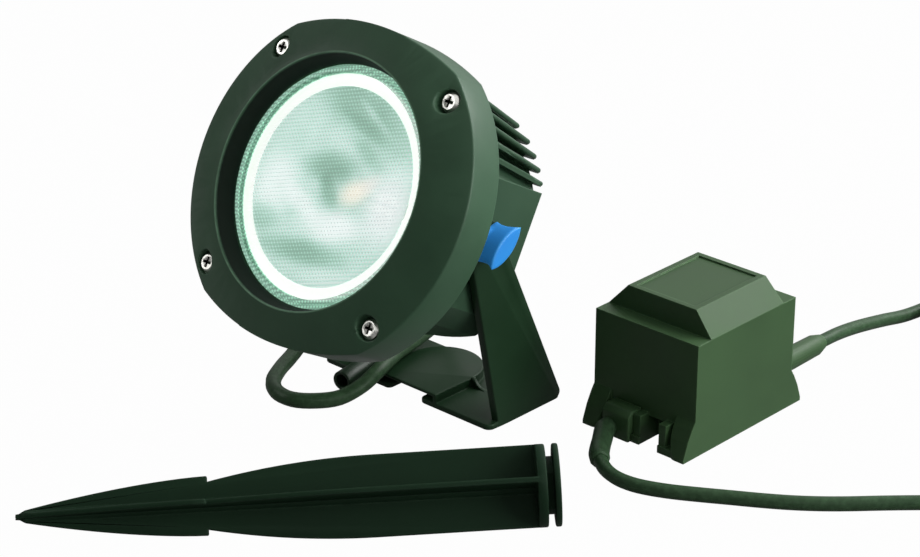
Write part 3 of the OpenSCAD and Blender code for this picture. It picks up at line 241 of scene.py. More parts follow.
class Tree:
    """A node tree that is built node by node."""

    def __init__(self, tree):
        self.tree = tree
        tree.nodes.clear()

    def node(self, kind, settings=None, links=None, out=0):
        made = self.tree.nodes.new(kind)
        settings = dict(settings or {})
        stops = settings.pop("stops", None)
        for key, value in settings.items():
            setattr(made, key, value)
        if stops:
            ramp = made.color_ramp.elements
            while len(ramp) < len(stops):
                ramp.new(0.5)
            for element, (position, shade) in zip(ramp, stops):
                element.position = position
                element.color = (*shade, 1)
        for key, value in (links or {}).items():
            socket = made.inputs[key]
            if isinstance(value, Wire):
                self.tree.links.new(value.socket, socket)
            elif socket.type == "RGBA" and len(value) == 3:
                socket.default_value = (*value, 1)
            else:
                socket.default_value = value
        return Wire(self, made.outputs[out]) if len(made.outputs) else made

    def span(self, value, low, high, start=0.0, end=1.0, soft=False):
        """What lies between two levels of a value, spread from a start to an end."""
        kind = "SMOOTHSTEP" if soft else "LINEAR"
        return self.node("ShaderNodeMapRange", {"interpolation_type": kind},
                         {0: value, 1: low, 2: high, 3: start, 4: end})

    def towards(self, place, way):
        """How far a place lies along a direction."""
        return self.node("ShaderNodeVectorMath", {"operation": "DOT_PRODUCT"}, {0: place, 1: way},
                         out="Value")

    def rays(self, *kinds):
        """One for rays of these kinds and nothing for the others."""
        total = self.node("ShaderNodeLightPath", out=kinds[0])
        for kind in kinds[1:]:
            total = total.maths("MAXIMUM", total, self.node("ShaderNodeLightPath", out=kind))
        return total


class Finish(Tree):
    """A material with its own place on the piece."""

    def __init__(self, name):
        self.material = bpy.data.materials.new(name)
        self.material.use_nodes = True
        super().__init__(self.material.node_tree)
        self.place = self.node("ShaderNodeTexCoord", out="Object")

    def in_head(self):
        """Place in the lamp head's own directions: across, up the face, forward."""
        return self.node("ShaderNodeMapping", {"vector_type": "TEXTURE"},
                         {"Vector": self.place, "Location": tuple(PIVOT),
                          "Rotation": (pi / 2 - TILT, 0.0, 0.0)})

    def reach(self, place, middle=(0.0, 0.0), half=(1.0, 1.0), turn=0.0):
        """How far a place on the lamp's face lies from a middle, in half widths."""
        moved = self.node("ShaderNodeMapping", {"vector_type": "TEXTURE"},
                          {"Vector": place, "Location": (*middle, 0.0), "Rotation": (0.0, 0.0, radians(turn)),
                           "Scale": (*half, 1000.0)})
        return self.node("ShaderNodeVectorMath", {"operation": "LENGTH"}, {0: moved}, out="Value")

    def noise(self, scale, detail=3.0, rough=0.5):
        return self.node("ShaderNodeTexNoise", {},
                         {"Vector": self.place, "Scale": scale, "Detail": detail, "Roughness": rough})

    def mottle(self, noise, start=0.0, end=1.0):
        """A noise spread from its usual lows to its usual highs."""
        return self.span(noise, 0.3, 0.7, start, end)

    def blend(self, factor, first, second):
        return self.node("ShaderNodeMix", {"data_type": "RGBA"}, {0: factor, 6: first, 7: second}, out=2)

    def ramp(self, factor, *stops):
        return self.node("ShaderNodeValToRGB", {"stops": stops}, {0: factor})

    def bump(self, height, strength, distance, normal=None):
        links = {"Height": height, "Strength": strength, "Distance": distance}
        if normal:
            links["Normal"] = normal
        return self.node("ShaderNodeBump", {}, links)

    def principled(self, **links):
        names = {key.replace("_", " "): value for key, value in links.items()}
        return self.node("ShaderNodeBsdfPrincipled", {}, names)

    def surface(self, shader):
        self.node("ShaderNodeOutputMaterial", {}, {"Surface": shader})
        return self.material


def scaled(tint, share, lift=0.0):
    """A colour made darker or lighter."""
    return tuple(min(1.0, share * c + lift) for c in tint)


def moulded(name, tint, rough, edge, grain=1.0, gloss=0.45, mouth=None, glow=0.0):
    """Satin moulded plastic: spark grain, faint flow marks, edges painted paler as rubbed wear and painted
    edge highlights; inside a round mouth painted shade and a rougher finish, with a painted highlight on its
    lip.
    """
    f = Finish(name)
    round_normal = f.node("ShaderNodeBevel", {"samples": 4}, {"Radius": edge})
    flat_normal = f.node("ShaderNodeNewGeometry", out="Normal")
    # Edges painted paler where a wide rounding's normal leaves the face's own: rubbed wear and painted edge
    # highlights
    facing = f.towards(f.node("ShaderNodeBevel", {"samples": 4}, {"Radius": 2.2 * edge}), flat_normal)
    rub_and_edge_highlight = f.span(1 - facing, 0.01, 0.16) * f.span(f.noise(160.0), 0.35, 0.65, 0.45, 1.0)
    cloud = f.noise(22.0, 4.0, 0.55)
    spark = f.noise(2600.0, 2.0, 0.6)
    body = f.blend(f.mottle(cloud), scaled(tint, 0.90), scaled(tint, 1.12))
    if mouth:
        out = f.reach(f.in_head())
        # Painted shade inside the mouth: the plastic there made near black, and rougher
        inside = f.span(out, mouth - 0.0004, mouth - 0.0001, 1.0, 0.0)
        body = f.blend(inside, body, scaled(tint, 0.08))
        rough = rough + (0.88 - rough) * inside
        # Painted highlight: a paler line along the mouth's lip, broken by noise
        painted_highlight_lip = f.span(out, mouth - 0.0001, mouth + 0.0002)
        painted_highlight_lip = painted_highlight_lip * f.span(out, mouth + 0.0005, mouth + 0.0009, 1.0, 0.0)
        body = f.blend(painted_highlight_lip * f.span(f.noise(120.0), 0.35, 0.6, 0.5, 1.0), body, scaled(tint, 3.2, 0.04))
    # Painted edge highlight and rubbed wear: paler plastic along the edges
    worn_and_highlit = f.blend(rub_and_edge_highlight * 0.55, body, scaled(tint, 2.4, 0.03))
    uneven = f.span(cloud + 0.35 * spark, 0.45, 0.9, -0.05, 0.07) + rough
    # A glow, where given, is painted light: the plastic shines by itself
    shader = f.principled(Base_Color=worn_and_highlit, Roughness=uneven, Specular_IOR_Level=gloss,
                          Normal=f.bump(spark, 0.16 * grain, 0.0003, round_normal),
                          Emission_Color=tint, Emission_Strength=glow)
    return f.surface(shader)


def rubber(name, tint, rough):
    """Extruded rubber jacket: dull sheen, fine dust and faint scuffs."""
    f = Finish(name)
    dust = f.noise(340.0, 4.0, 0.6)
    scuff = f.noise(60.0, 3.0, 0.5)
    shade = f.blend(f.span(dust, 0.42, 0.72, 0.0, 0.5), tint, scaled(tint, 1.9, 0.006))
    shader = f.principled(Base_Color=shade, Roughness=f.mottle(scuff, rough - 0.07, rough + 0.09),
                          Normal=f.bump(dust, 0.12, 0.0003), Specular_IOR_Level=0.2)
    return f.surface(shader)


def metal(name, tint, rough, grain_scale, dull=0.86, painted_recess_shade=False):
    """Metal with fine drawn grain, on a screw with painted shade, near black, down in its cross recess."""
    f = Finish(name)
    grain = f.noise(grain_scale, 3.0, 0.6)
    shade = f.blend(f.mottle(grain), scaled(tint, dull), tint)
    if painted_recess_shade:
        place = f.in_head()
        corner = f.node("ShaderNodeVectorMath", {"operation": "ABSOLUTE"}, {0: place})
        near = f.span(f.reach(corner, (SCREW_AT, SCREW_AT)), RECESS_R, RECESS_R + 0.0002, 1.0, 0.0)
        deep = f.span(f.towards(place, (0.0, 0.0, 1.0)), SCREW_TOP - 0.0008, SCREW_TOP - 0.0002, 1.0, 0.0)
        # Painted shade: near black down in the cross recess
        shade = f.blend(near * deep, shade, (0.012, 0.016, 0.012))
    shader = f.principled(Base_Color=shade, Metallic=1.0, Normal=f.bump(grain, 0.06, 0.0002),
                          Roughness=f.mottle(grain, rough - 0.05, rough + 0.08))
    return f.surface(shader)


def matt(name, tint, rough, scale, depth):
    """Dull cast or fired finish with small pits."""
    f = Finish(name)
    pits = f.noise(scale, 4.0, 0.6)
    shade = f.blend(f.mottle(pits), scaled(tint, 0.85), scaled(tint, 1.08))
    shader = f.principled(Base_Color=shade, Roughness=rough, Normal=f.bump(pits, depth, 0.0004))
    return f.surface(shader)


def prism_tops(f, place, pitch, turn):
    """One over the prisms' tops and nothing in the grooves, every other row half a prism along."""
    waves = []
    for side, period in ((turn, pitch), (turn + 90.0, 2 * pitch), (turn + 90.0, pitch)):
        across = f.towards(place, (cos(radians(side)), sin(radians(side)), 0.0))
        waves.append(f.node("ShaderNodeMath", {"operation": "COSINE"}, {0: across * (2 * pi / period)}))
    return waves[0] * waves[1] * (0.5 - PRISM_ROWS) + waves[2] * PRISM_ROWS + 0.5


def prismatic_glass(tint, pitch):
    """Pressed prismatic glass: soft zones of painted light and reflection, standing in for a lit reflector,
    behind a front of small prisms painted lighter on their tops and darker in their grooves.
    """
    f = Finish("prismatic_glass")
    place = f.in_head()
    out = f.reach(place)
    tops = prism_tops(f, place, pitch, PRISM_TURN)
    # Painted light: a brightness that the zones lighten and darken
    light = f.mottle(f.noise(55.0, 2.0, 0.5), 0.60, 0.70)
    for middle, half, turn, share in PAINTED_GLASS_LIGHT:
        light = light + share * f.span(f.reach(place, middle, half, turn), 0.2, 1.0, 1.0, 0.0, soft=True)
    # Painted highlights on the prisms' tops and painted shade in their grooves
    lit = f.ramp(light + (tops - 0.5) * 0.44, (0.0, scaled(tint, 0.5)), (0.34, tint),
                 (0.64, (0.58, 0.79, 0.72)), (1.0, (0.95, 0.99, 0.99)))
    # Painted tinted light and reflection
    for middle, half, turn, full, share, shade in PAINTED_GLASS_TINTS:
        zone = f.span(f.reach(place, middle, half, turn), full, 1.0, share, 0.0, soft=True)
        lit = f.blend(zone, lit, shade)
    # On the band outside the rim: prism tops painted light, grooves painted dark
    wall = f.span(out, HOLLOW_R - 0.0005, HOLLOW_R - 0.0001)
    lit = f.blend(wall, lit, f.blend(tops, scaled(tint, 0.32), scaled(tint, 1.8)))
    # The painted light also glows: a painted glow
    milk_and_painted_light = f.principled(Base_Color=lit, Roughness=0.3, Specular_IOR_Level=0.3,
                        Emission_Color=lit, Emission_Strength=0.57)
    clear = f.node("ShaderNodeBsdfTransparent", {}, {"Color": (1.0, 1.0, 1.0)})
    back = f.span(f.towards(place, (0.0, 0.0, 1.0)), FACE_BACK + 0.0004, FACE_BACK + 0.0010, 1.0, 0.0)
    bowl = f.span(out, BOWL_R - 0.0003, BOWL_R, 0.94, 0.0)
    front = f.span(tops, 0.2, 1.0, 0.02, 0.34) * f.span(out, BOWL_R - 0.0029, BOWL_R + 0.0001, 1.0, 0.15)
    haze = f.node("ShaderNodeMath", {"operation": "ADD", "use_clamp": True},
                  {0: back * bowl + (1 - back) * front, 1: wall * 0.72})
    return f.surface(f.node("ShaderNodeMixShader", {}, {0: haze, 1: clear, 2: milk_and_painted_light}))


def reflector(tint, glow):
    """Vapour coated bowl, softly dimpled, with painted shade in the dimples and a painted glow as if lit."""
    f = Finish("reflector_coat")
    dimple = prism_tops(f, f.in_head(), 0.0064, 15.0)
    # Painted shade: the dimples' hollows a touch darker
    shade = f.blend(dimple, scaled(tint, 0.9), tint)
    # The glow is painted light, as if the bowl were lit
    shader = f.principled(Base_Color=shade, Metallic=0.85, Roughness=f.span(dimple, 0.0, 1.0, 0.30, 0.42),
                          Normal=f.bump(dimple, 0.25, 0.0006), Emission_Color=shade, Emission_Strength=glow)
    return f.surface(shader)


def enamel(tint, glow):
    """White rim of the lamp, with a painted glow as if lit."""
    f = Finish("rim_enamel")
    shade = f.blend(f.mottle(f.noise(500.0)), scaled(tint, 0.96), tint)
    shader = f.principled(Base_Color=shade, Roughness=0.4, Emission_Color=shade, Emission_Strength=glow)
    return f.surface(shader)


def capsule(tint, glow):
    """Quartz capsule with a warm heart."""
    f = Finish("capsule_quartz")
    shade = f.blend(f.noise(400.0), tint, (1.0, 0.86, 0.74))
    shader = f.principled(Base_Color=shade, Roughness=0.35, Specular_IOR_Level=0.2,
                          Emission_Color=shade, Emission_Strength=glow)
    return f.surface(shader)


def free():
    """Leave edit mode and drop the selection."""
    if bpy.context.object and bpy.context.object.mode != "OBJECT":
        bpy.ops.object.mode_set(mode="OBJECT")
    bpy.ops.object.select_all(action="DESELECT")


def wear(piece, material):
    """Give a piece one material."""
    piece.data.materials.clear()
    piece.data.materials.append(material)


def roomy(edge, hard, width):
    """Whether an edge may be rounded without running into what lies beside it."""
    way = (edge.verts[1].co - edge.verts[0].co).normalized()
    for face in edge.link_faces:
        if max((point.co - edge.verts[0].co).cross(way).length for point in face.verts) < ROOM_ACROSS * width:
            return False
    for end in edge.verts:
        along = edge.other_vert(end).co - end.co
        for other in end.link_edges:
            if other is edge:
                continue
            apart = along.angle(other.other_vert(end).co - end.co)
            if apart < NARROW:
                return False
            if other not in hard and apart < STRAIGHT and other.calc_length() < ROOM_ALONG * width:
                return False
    return True


def copy_of(node, weld):
    """A welded copy of a solid, in edit mode with nothing selected."""
    free()
    NODES[node].select_set(True)
    bpy.context.view_layer.objects.active = NODES[node]
    bpy.ops.object.duplicate()
    piece = bpy.context.object
    piece.name = node + "_moulding"
    for key in list(piece.keys()):
        del piece[key]
    bpy.ops.object.mode_set(mode="EDIT")
    bpy.ops.mesh.select_mode(type="EDGE")
    bpy.ops.mesh.select_all(action="SELECT")
    bpy.ops.mesh.customdata_custom_splitnormals_clear()
    bpy.ops.mesh.remove_doubles(threshold=weld)
    bpy.ops.mesh.dissolve_limited(angle_limit=radians(0.3))
    bpy.ops.mesh.select_all(action="DESELECT")
    return piece


def stand_for(piece, node):
    """Put a copy in the place of its solid."""
    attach(piece, BODY_OF[node])
    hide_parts(node)


def soften(node, width, segments, weld=WELD):
    """A copy of a solid with its hard edges rounded, wherever there is room for the rounding."""
    piece = copy_of(node, weld)
    shape = bmesh.from_edit_mesh(piece.data)
    hard = {edge for edge in shape.edges if edge.is_convex and edge.calc_face_angle(0) > HARD}
    for edge in hard:
        edge.select_set(roomy(edge, hard, width))
    bmesh.update_edit_mesh(piece.data)
    bpy.ops.mesh.bevel(offset_type="OFFSET", offset=width, segments=segments, affect="EDGES",
                       clamp_overlap=False, miter_outer="SHARP")
    bpy.ops.mesh.select_mode(type="VERT")
    bpy.ops.object.mode_set(mode="OBJECT")
    bpy.ops.object.shade_smooth_by_angle(angle=radians(30))
    stand_for(piece, node)


def melt(node, voxel, passes):
    """A copy of a solid with all its edges and points rounded off, as on a soft moulding."""
    piece = copy_of(node, WELD)
    bpy.ops.mesh.select_mode(type="VERT")
    bpy.ops.object.mode_set(mode="OBJECT")
    skin = piece.modifiers.new("skin", "REMESH")
    skin.mode = "VOXEL"
    skin.voxel_size = voxel
    even = piece.modifiers.new("even", "SMOOTH")
    even.factor = 0.5
    even.iterations = passes
    for modifier in ("skin", "even"):
        bpy.ops.object.modifier_apply(modifier=modifier)
    bpy.ops.object.shade_smooth()
    stand_for(piece, node)


def smooth_route(points, steps):
    """Points on one smooth curve through a route's own points."""
    path = [Vector(p) for p in points]
    path = [2 * path[0] - path[1]] + path + [2 * path[-1] - path[-2]]
    out = []
    for i in range(1, len(path) - 2):
        a, b, c, d = path[i - 1:i + 3]
        for k in range(steps):
            t = k / steps
            out.append(0.5 * (2 * b + (c - a) * t + (2 * a - 5 * b + 4 * c - d) * t * t
                              + (3 * b - a - 3 * c + d) * t ** 3))
    out.append(path[-2])
    return out


def coil_points(mid, r_out, turns, layers, step, z0):
    """A piled coil that starts at its left side, spirals in and out and climbs a layer at each turn back."""
    per = turns / layers
    points = []
    for i in range(int(COIL_POINTS * turns) + 1):
        turn = i / COIL_POINTS
        fold = (turn / per) % 2
        r = r_out - step * per * (fold if fold < 1 else 2 - fold)
        up = sum(min(1, max(0, (turn - k * per + 0.25) / 0.5)) for k in range(1, layers))
        angle = pi - 2 * pi * turn
        points.append((mid[0] + r * cos(angle), mid[1] + r * sin(angle), z0 + step * up))
    return points


def coiled_route(lead_in, mid, r_out, turns, layers, diameter, lead_out):
    """A route into a piled coil at its left side and out of it at its right side, on top."""
    step = diameter * COIL_PITCH
    z0 = diameter / 2 + COIL_LIFT
    start = (mid[0] - r_out, mid[1] - diameter, z0)
    end = (mid[0] + r_out, mid[1] - diameter, z0 + (layers - 1) * step)
    coil = coil_points(mid, r_out, turns, layers, step, z0)
    return smooth_route(lead_in + [start] + coil + [end] + lead_out, 4)


def run(points):
    """Length of a route."""
    return sum((b - a).length for a, b in zip(points, points[1:]))


def millimetres(*points):
    """Points that are written in millimetres."""
    return [tuple(v / 1000 for v in p) for p in points]


def lying(diameter):
    """Height in millimetres of the middle of a cord that lies on the floor."""
    return 1000 * diameter / 2 + FLOOR_GAP


def cord_curve(name, points, diameter):
    """A round cord on one open spline."""
    curve = bpy.data.curves.new(name, "CURVE")
    curve.dimensions = "3D"
    spline = curve.splines.new("POLY")
    spline.points.add(len(points) - 1)
    for point, place in zip(spline.points, points):
        point.co = (*place, 1)
    spline.use_smooth = True
    curve.bevel_depth = diameter / 2
    curve.bevel_resolution = 4
    curve.use_fill_caps = True
    cord = bpy.data.objects.new(name, curve)
    bpy.context.scene.collection.objects.link(cord)
    return cord


def as_mesh(piece):
    """The mesh of a cord's curve."""
    piece.select_set(True)
    bpy.context.view_layer.objects.active = piece
    bpy.ops.object.convert(target="MESH")
    return bpy.context.object


def lay_cord(name, path, diameter, jacket, nodes):
    """A still cord that stands for its solids."""
    cord = cord_curve(name, path, diameter)
    wear(cord, jacket)
    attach(cord, "root")
    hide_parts(*nodes)
    run(path)


def lay_lamp_bend(jacket, lead_d):
    """The stretch of the lamp lead out of the head's boot, where the real lead bends as the head tilts, laid
    still.
    """
    points = [tuple(BOOT_END), tuple(BOOT_END + BOOT_RUN)]
    points += millimetres((-28, 43, 57), (-28, 46.4, 41), (-27.6, 41, 26.6), (-26.6, 29, 16.6), FLEX_END)
    flex = smooth_route(points, 8)
    bend = as_mesh(cord_curve("lamp_lead_bend", flex, lead_d))
    bpy.ops.object.shade_smooth()
    wear(bend, jacket)
    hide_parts("lamp_lead_flex")
    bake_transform(bend)
    run(flex)


def lay_lamp_lead(jacket, lead_d, coil_r):
    """The lamp lead in front of the bracket, its coil and its tail to the connector."""
    z = lying(lead_d)
    lead_in = millimetres(
        FLEX_END, (-22.8, 1, 12.7), (-20.2, -12, 12.6), (-16.4, -23, 12.8), (-13, -34, 12), (-12.8, -46, 8),
        (-16.6, -58, z), (-23, -69, z), (-33, -76, z), (-45, -75.4, z), (-55.4, -68, z), (-63, -56, z),
        (-69, -43, z), (-76, -30, z), (-88, -16, z), (-104, -3, z), (-122, 8, z), (-141, 19, z),
        (-160, 30, z), (-180, 43, z), (-198, 59, z), (-210, 77, z))
    tail = millimetres(
        (-99.6, 80, 22), (-96, 64, 13), (-88, 50, z + 1), (-75, 40, z), (-60, 35, z), (-48, 27, 7.6),
        (-38.6, 13, 8.4), (-31.388, -4.697, 8.4))
    path = coiled_route(lead_in, LAMP_COIL_MID, coil_r, LAMP_COIL_TURNS, LAMP_COIL_LAYERS, lead_d, tail)
    lay_cord("lamp_lead_cord", path, lead_d, jacket, ("lamp_lead", "lamp_coil", "lamp_tail"))


def lay_low_voltage_lead(jacket, low_d):
    """The loose lead from the transformer's sleeve to its plug."""
    z = lying(low_d)
    path = smooth_route(millimetres(
        (125.6, -20.6, 5.3), (132, -24.2, 4.4), (139, -26.2, z), (147, -26.8, z), (156, -25, z),
        (168, -19.8, z), (181, -12.2, z), (193, -4.7, z), (205.4, 3, z), (217, 10.9, z), (228, 19.7, z),
        (238, 29, z), (248.4, 39.6, z), (259.4, 50.4, z), (271, 61.2, z), (285, 72, z), (297, 80.2, 4.6),
        (309, 88, 5.4)), 8)
    lay_cord("low_voltage_cord", path, low_d, jacket, ("lv_lead",))


def lay_mains_lead(jacket, mains_d, coil_r):
    """The mains lead behind the transformer, its coil and its tail to the plug."""
    lead_in = millimetres(
        (141.2, 137.3, 19), (141, 151, 18.4), (139.6, 166, 15.9), (138.4, 182, 12.6), (138.2, 200, 9),
        (139, 218, 5.6), (140.6, 236, 4.65))
    mid = (MAINS_COIL_LEFT + coil_r, MAINS_COIL_Y)
    tail = [(mid[0] + coil_r, 0.240, 0.0136), (mid[0] + coil_r, 0.222, 0.0172)]
    path = coiled_route(lead_in, mid, coil_r, MAINS_COIL_TURNS, MAINS_COIL_LAYERS, mains_d, tail)
    lay_cord("mains_cord", path, mains_d, jacket, ("mains_lead", "mains_coil", "mains_tail"))


class PONDLIGHT_OT_camera(bpy.types.Operator):
    """Place the camera at the photograph's view"""
    bl_idname = "pondlight.camera"
    bl_label = "Camera"

    def execute(self, context):
        free()
        bpy.ops.object.camera_add(location=CAMERA_AT, rotation=CAMERA_TURN)
        camera = context.object
        camera.name = "camera"
        camera.data.sensor_width = CAMERA_SENSOR
        camera.data.lens = CAMERA_LENS
        camera.data.clip_start = 0.01
        context.scene.camera = camera
        return {"FINISHED"}


class PONDLIGHT_OT_leads(bpy.types.Operator):
    """Lay the lamp lead, the low voltage lead and the mains lead along their routes"""
    bl_idname = "pondlight.leads"
    bl_label = "Leads"

    def execute(self, context):
        free()
        look = context.scene.pond_light_finishes
        sizes = context.scene.pond_light_leads
        jacket = rubber("lead_jacket", tuple(look.rubber), 0.40)
        lay_lamp_bend(jacket, sizes.lead_d)
        lay_lamp_lead(jacket, sizes.lead_d, sizes.lamp_coil_r)
        lay_low_voltage_lead(jacket, sizes.low_d)
        lay_mains_lead(jacket, sizes.mains_d, sizes.mains_coil_r)
        return {"FINISHED"}


class PONDLIGHT_OT_finishes(bpy.types.Operator):
    """Give every piece of the set its finish"""
    bl_idname = "pondlight.finishes"
    bl_label = "Finishes"

    def execute(self, context):
        look = context.scene.pond_light_finishes
        green = moulded("moulded_green", tuple(look.plastic), 0.38, look.edge_round)
        # The bezel is the lamp plastic painted 1.25 times lighter, a lit copy of it as painted light, with
        # painted shade inside its mouth and a painted highlight on its lip
        bezel = moulded("bezel_green_painted_light", scaled(look.plastic, 1.25), 0.36, look.edge_round, gloss=0.35,
                        mouth=MOUTH_R)
        dark = moulded("bracket_green", tuple(look.bracket), 0.40, look.edge_round, gloss=0.2)
        peg = moulded("stake_green", tuple(look.stake), 0.50, look.edge_round, gloss=0.12)
        case = moulded("case_green", tuple(look.case), 0.44, look.edge_round, gloss=0.3)
        black = rubber("seal_rubber", tuple(look.rubber), 0.48)
        connector = moulded("connector_black", scaled(look.bracket, 0.8), 0.44, look.edge_round)
        steel = metal("stainless", tuple(look.steel), 0.30, 900.0)
        brass = metal("brass", (0.62, 0.44, 0.18), 0.32, 700.0)
        copper = metal("winding_copper", (0.52, 0.22, 0.10), 0.42, 1400.0)
        iron = metal("core_iron", (0.16, 0.16, 0.17), 0.5, 1800.0)
        white = matt("ceramic", (0.78, 0.76, 0.70), 0.55, 900.0, 0.15)
        resin = matt("potting_resin", (0.018, 0.02, 0.019), 0.5, 260.0, 0.3)
        # The knobs' faint glow is painted light, standing in for light through the blue plastic
        blue = moulded("knob_blue", tuple(look.knob), 0.36, look.edge_round, 0.7, 0.4, glow=0.12)
        wearing = {
            green: ["lamp_housing"],
            bezel: ["front_bezel"],
            dark: ["yoke_bracket"],
            peg: ["ground_stake"],
            case: ["trafo_case", "lv_outlet", "mains_boot"],
            matt("pale_silicone", (0.42, 0.55, 0.48), 0.5, 500.0, 0.1): ["glass_seal"],
            black: ["glass_gasket", "washer_right", "washer_left", "lead_boot", "lv_boot", "lamp_lead_flex",
                    "lamp_lead", "lamp_coil", "lamp_tail", "lv_lead", "mains_lead", "mains_coil",
                    "mains_tail", "coil_tie_lamp", "coil_tie_mains"],
            connector: ["cable_gland", "lamp_connector", "lv_plug", "mains_plug"],
            metal("screw_steel", tuple(look.steel), 0.30, 1500.0, 0.9, painted_recess_shade=True): SCREWS,
            steel: ["stud_right", "stud_left", "lamp_pins", "mains_pins"],
            brass: ["insert_right", "insert_left", "lv_pins"],
            copper: ["trafo_winding"],
            iron: ["trafo_core"],
            white: ["lamp_base", "lamp_holder"],
            resin: ["trafo_resin"],
            blue: KNOBS,
            prismatic_glass(tuple(look.glass), look.prism_pitch): ["front_glass"],
            reflector((0.80, 0.90, 0.86), 0.25): ["reflector_bowl"],
            metal("cap_coat", (0.42, 0.50, 0.46), 0.38, 600.0): ["glare_cap"],
            enamel(tuple(look.enamel), 0.78): ["reflector_ring"],
            capsule((0.9, 0.85, 0.8), 0.8): ["halogen_capsule"],
        }
        for material, names in wearing.items():
            for name in names:
                wear(NODES[name], material)
        bare = [name for name in NODES if not any(name in names for names in wearing.values())]
        if bare:
            raise RuntimeError("no finish for " + ", ".join(bare))
        return {"FINISHED"}


class PONDLIGHT_OT_mouldings(bpy.types.Operator):
    """Round the hard edges of the mouldings, knobs, screws and plugs"""
    bl_idname = "pondlight.mouldings"
    bl_label = "Mouldings"

    def execute(self, context):
        edge = context.scene.pond_light_finishes.edge_round
        for node, share, segments, weld in SOFTENED:
            soften(node, share * edge, segments, weld)
        for node in KNOBS:
            melt(node, KNOB_VOXEL * edge, KNOB_PASSES)
        for node in SCREWS:
            soften(node, SCREW_ROUND * edge, SCREW_SEGMENTS)
        return {"FINISHED"}


class PONDLIGHT_OT_fin_edges(bpy.types.Operator):
    """Give the cooling fins their blunt rounded edges"""
    bl_idname = "pondlight.fin_edges"
    bl_label = "Fin edges"

    def execute(self, context):
        free()
        for count in range(FIN_COUNT):
            low = FIN_LOW + count * FIN_PITCH
            side = []
            for z in FIN_LEVELS:
                spread = 1 + FIN_SPREAD * (z + HOUSING_BACK)
                sunk = max(0.0, FIN_ROUND - HOUSING_BACK - z)
                out = FIN_R * spread - FIN_ROUND + (FIN_ROUND ** 2 - sunk ** 2) ** 0.5
                across = (out ** 2 - (low * spread - FIN_T / 2) ** 2) ** 0.5
                side.append((min(across, HOUSING_HALF_W) - FIN_T / 2, low * spread, z))
            side += [(-x, y, z) for x, y, z in reversed(side)]
            bead = cord_curve("fin_edge", [HEAD @ Vector(point) for point in side], FIN_BEAD * FIN_T)
            bead.select_set(True)
            context.view_layer.objects.active = bead
        bpy.ops.object.convert(target="MESH")
        bpy.ops.object.join()
        beads = context.object
        beads.name = "fin_edges"
        bpy.ops.object.shade_smooth_by_angle(angle=radians(50))
        wear(beads, NODES["lamp_housing"].data.materials[0])
        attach(beads, BODY_OF["lamp_housing"])
        return {"FINISHED"}


class PONDLIGHT_OT_glass(bpy.types.Operator):
    """Press the front glass with its field of small prisms"""
    bl_idname = "pondlight.glass"
    bl_label = "Front glass"

    def execute(self, context):
        free()
        pitch = context.scene.pond_light_finishes.prism_pitch
        face_r = DOME_R - DOME_EDGE
        cells = 2 * (int(2 * face_r / pitch) // 2 + 2)
        bpy.ops.mesh.primitive_grid_add(x_subdivisions=2 * cells, y_subdivisions=2 * cells,
                                        size=cells * pitch, location=PIVOT, rotation=(pi / 2 - TILT, 0, 0))
        glass = context.object
        glass.name = "prismatic_front_glass"
        bpy.ops.object.mode_set(mode="EDIT")
        bpy.ops.mesh.select_all(action="DESELECT")
        shape = bmesh.from_edit_mesh(glass.data)
        turn = Matrix.Rotation(radians(PRISM_TURN), 3, "Z")
        for point in shape.verts:
            column, row = (round(2 * c / pitch) for c in point.co.xy)
            top = row % 2 == 0 and (column + row // 2) % 2 == 0 and point.co.xy.length < face_r - pitch / 2
            point.co = turn @ point.co
            point.co.z = FACE_FRONT - (0.0 if top else PRISM_DEPTH * pitch)
        for face in shape.faces:
            face.select_set(all(point.co.xy.length >= face_r for point in face.verts))
        bmesh.update_edit_mesh(glass.data)
        bpy.ops.mesh.delete(type="FACE")
        shape = bmesh.from_edit_mesh(glass.data)
        for point in shape.verts:
            if point.co.xy.length > face_r:
                point.co.xy *= face_r / point.co.xy.length
        bmesh.update_edit_mesh(glass.data)
        bpy.ops.mesh.select_all(action="SELECT")
        bpy.ops.mesh.remove_doubles(threshold=2e-5)
        bpy.ops.mesh.select_all(action="DESELECT")
        bpy.ops.mesh.select_mode(type="EDGE")
        bpy.ops.mesh.select_non_manifold()
        for radius, level in ((DOME_R, FACE_FRONT - DOME_EDGE), (DOME_R, RIM_FRONT), (RIM_R, RIM_FRONT),
                              (RIM_R, RIM_BACK), (HOLLOW_R, RIM_BACK), (HOLLOW_R, FACE_BACK)):
            bpy.ops.mesh.extrude_edges_move()
            shape = bmesh.from_edit_mesh(glass.data)
            for point in shape.verts:
                if point.select:
                    point.co.xy *= radius / point.co.xy.length
                    point.co.z = level
            bmesh.update_edit_mesh(glass.data)
        bpy.ops.mesh.edge_face_add()
        bpy.ops.mesh.select_all(action="SELECT")
        bpy.ops.mesh.normals_make_consistent(inside=False)
        bpy.ops.mesh.select_mode(type="VERT")
        bpy.ops.object.mode_set(mode="OBJECT")
        bpy.ops.object.transform_apply(location=True, rotation=True, scale=True)
        wear(glass, NODES["front_glass"].data.materials[0])
        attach(glass, BODY_OF["front_glass"])
        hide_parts("front_glass")
        return {"FINISHED"}


class PONDLIGHT_OT_sleeve(bpy.types.Operator):
    """Bend the rubber sleeve where the low voltage lead leaves the transformer"""
    bl_idname = "pondlight.sleeve"
    bl_label = "Sleeve"

    def execute(self, context):
        free()
        path = smooth_route(millimetres(
            (105.2, 9.8, 5.5), (106, 5.8, 5.4), (108.4, 2.2, 5.4), (112, -3, 5.4), (116.4, -9.8, 5.3),
            (120.8, -15.8, 5.3), (125.6, -20.6, 5.3)), 6)
        sleeve = cord_curve("low_voltage_sleeve", path, context.scene.pond_light_leads.sleeve_d)
        for point, share in zip(reversed(sleeve.data.splines[0].points), SLEEVE_MOUTH):
            point.radius = share
        sleeve = as_mesh(sleeve)
        bpy.ops.object.shade_smooth_by_angle(angle=radians(40))
        wear(sleeve, NODES["lv_boot"].data.materials[0])
        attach(sleeve, "root")
        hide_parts("lv_boot")
        return {"FINISHED"}


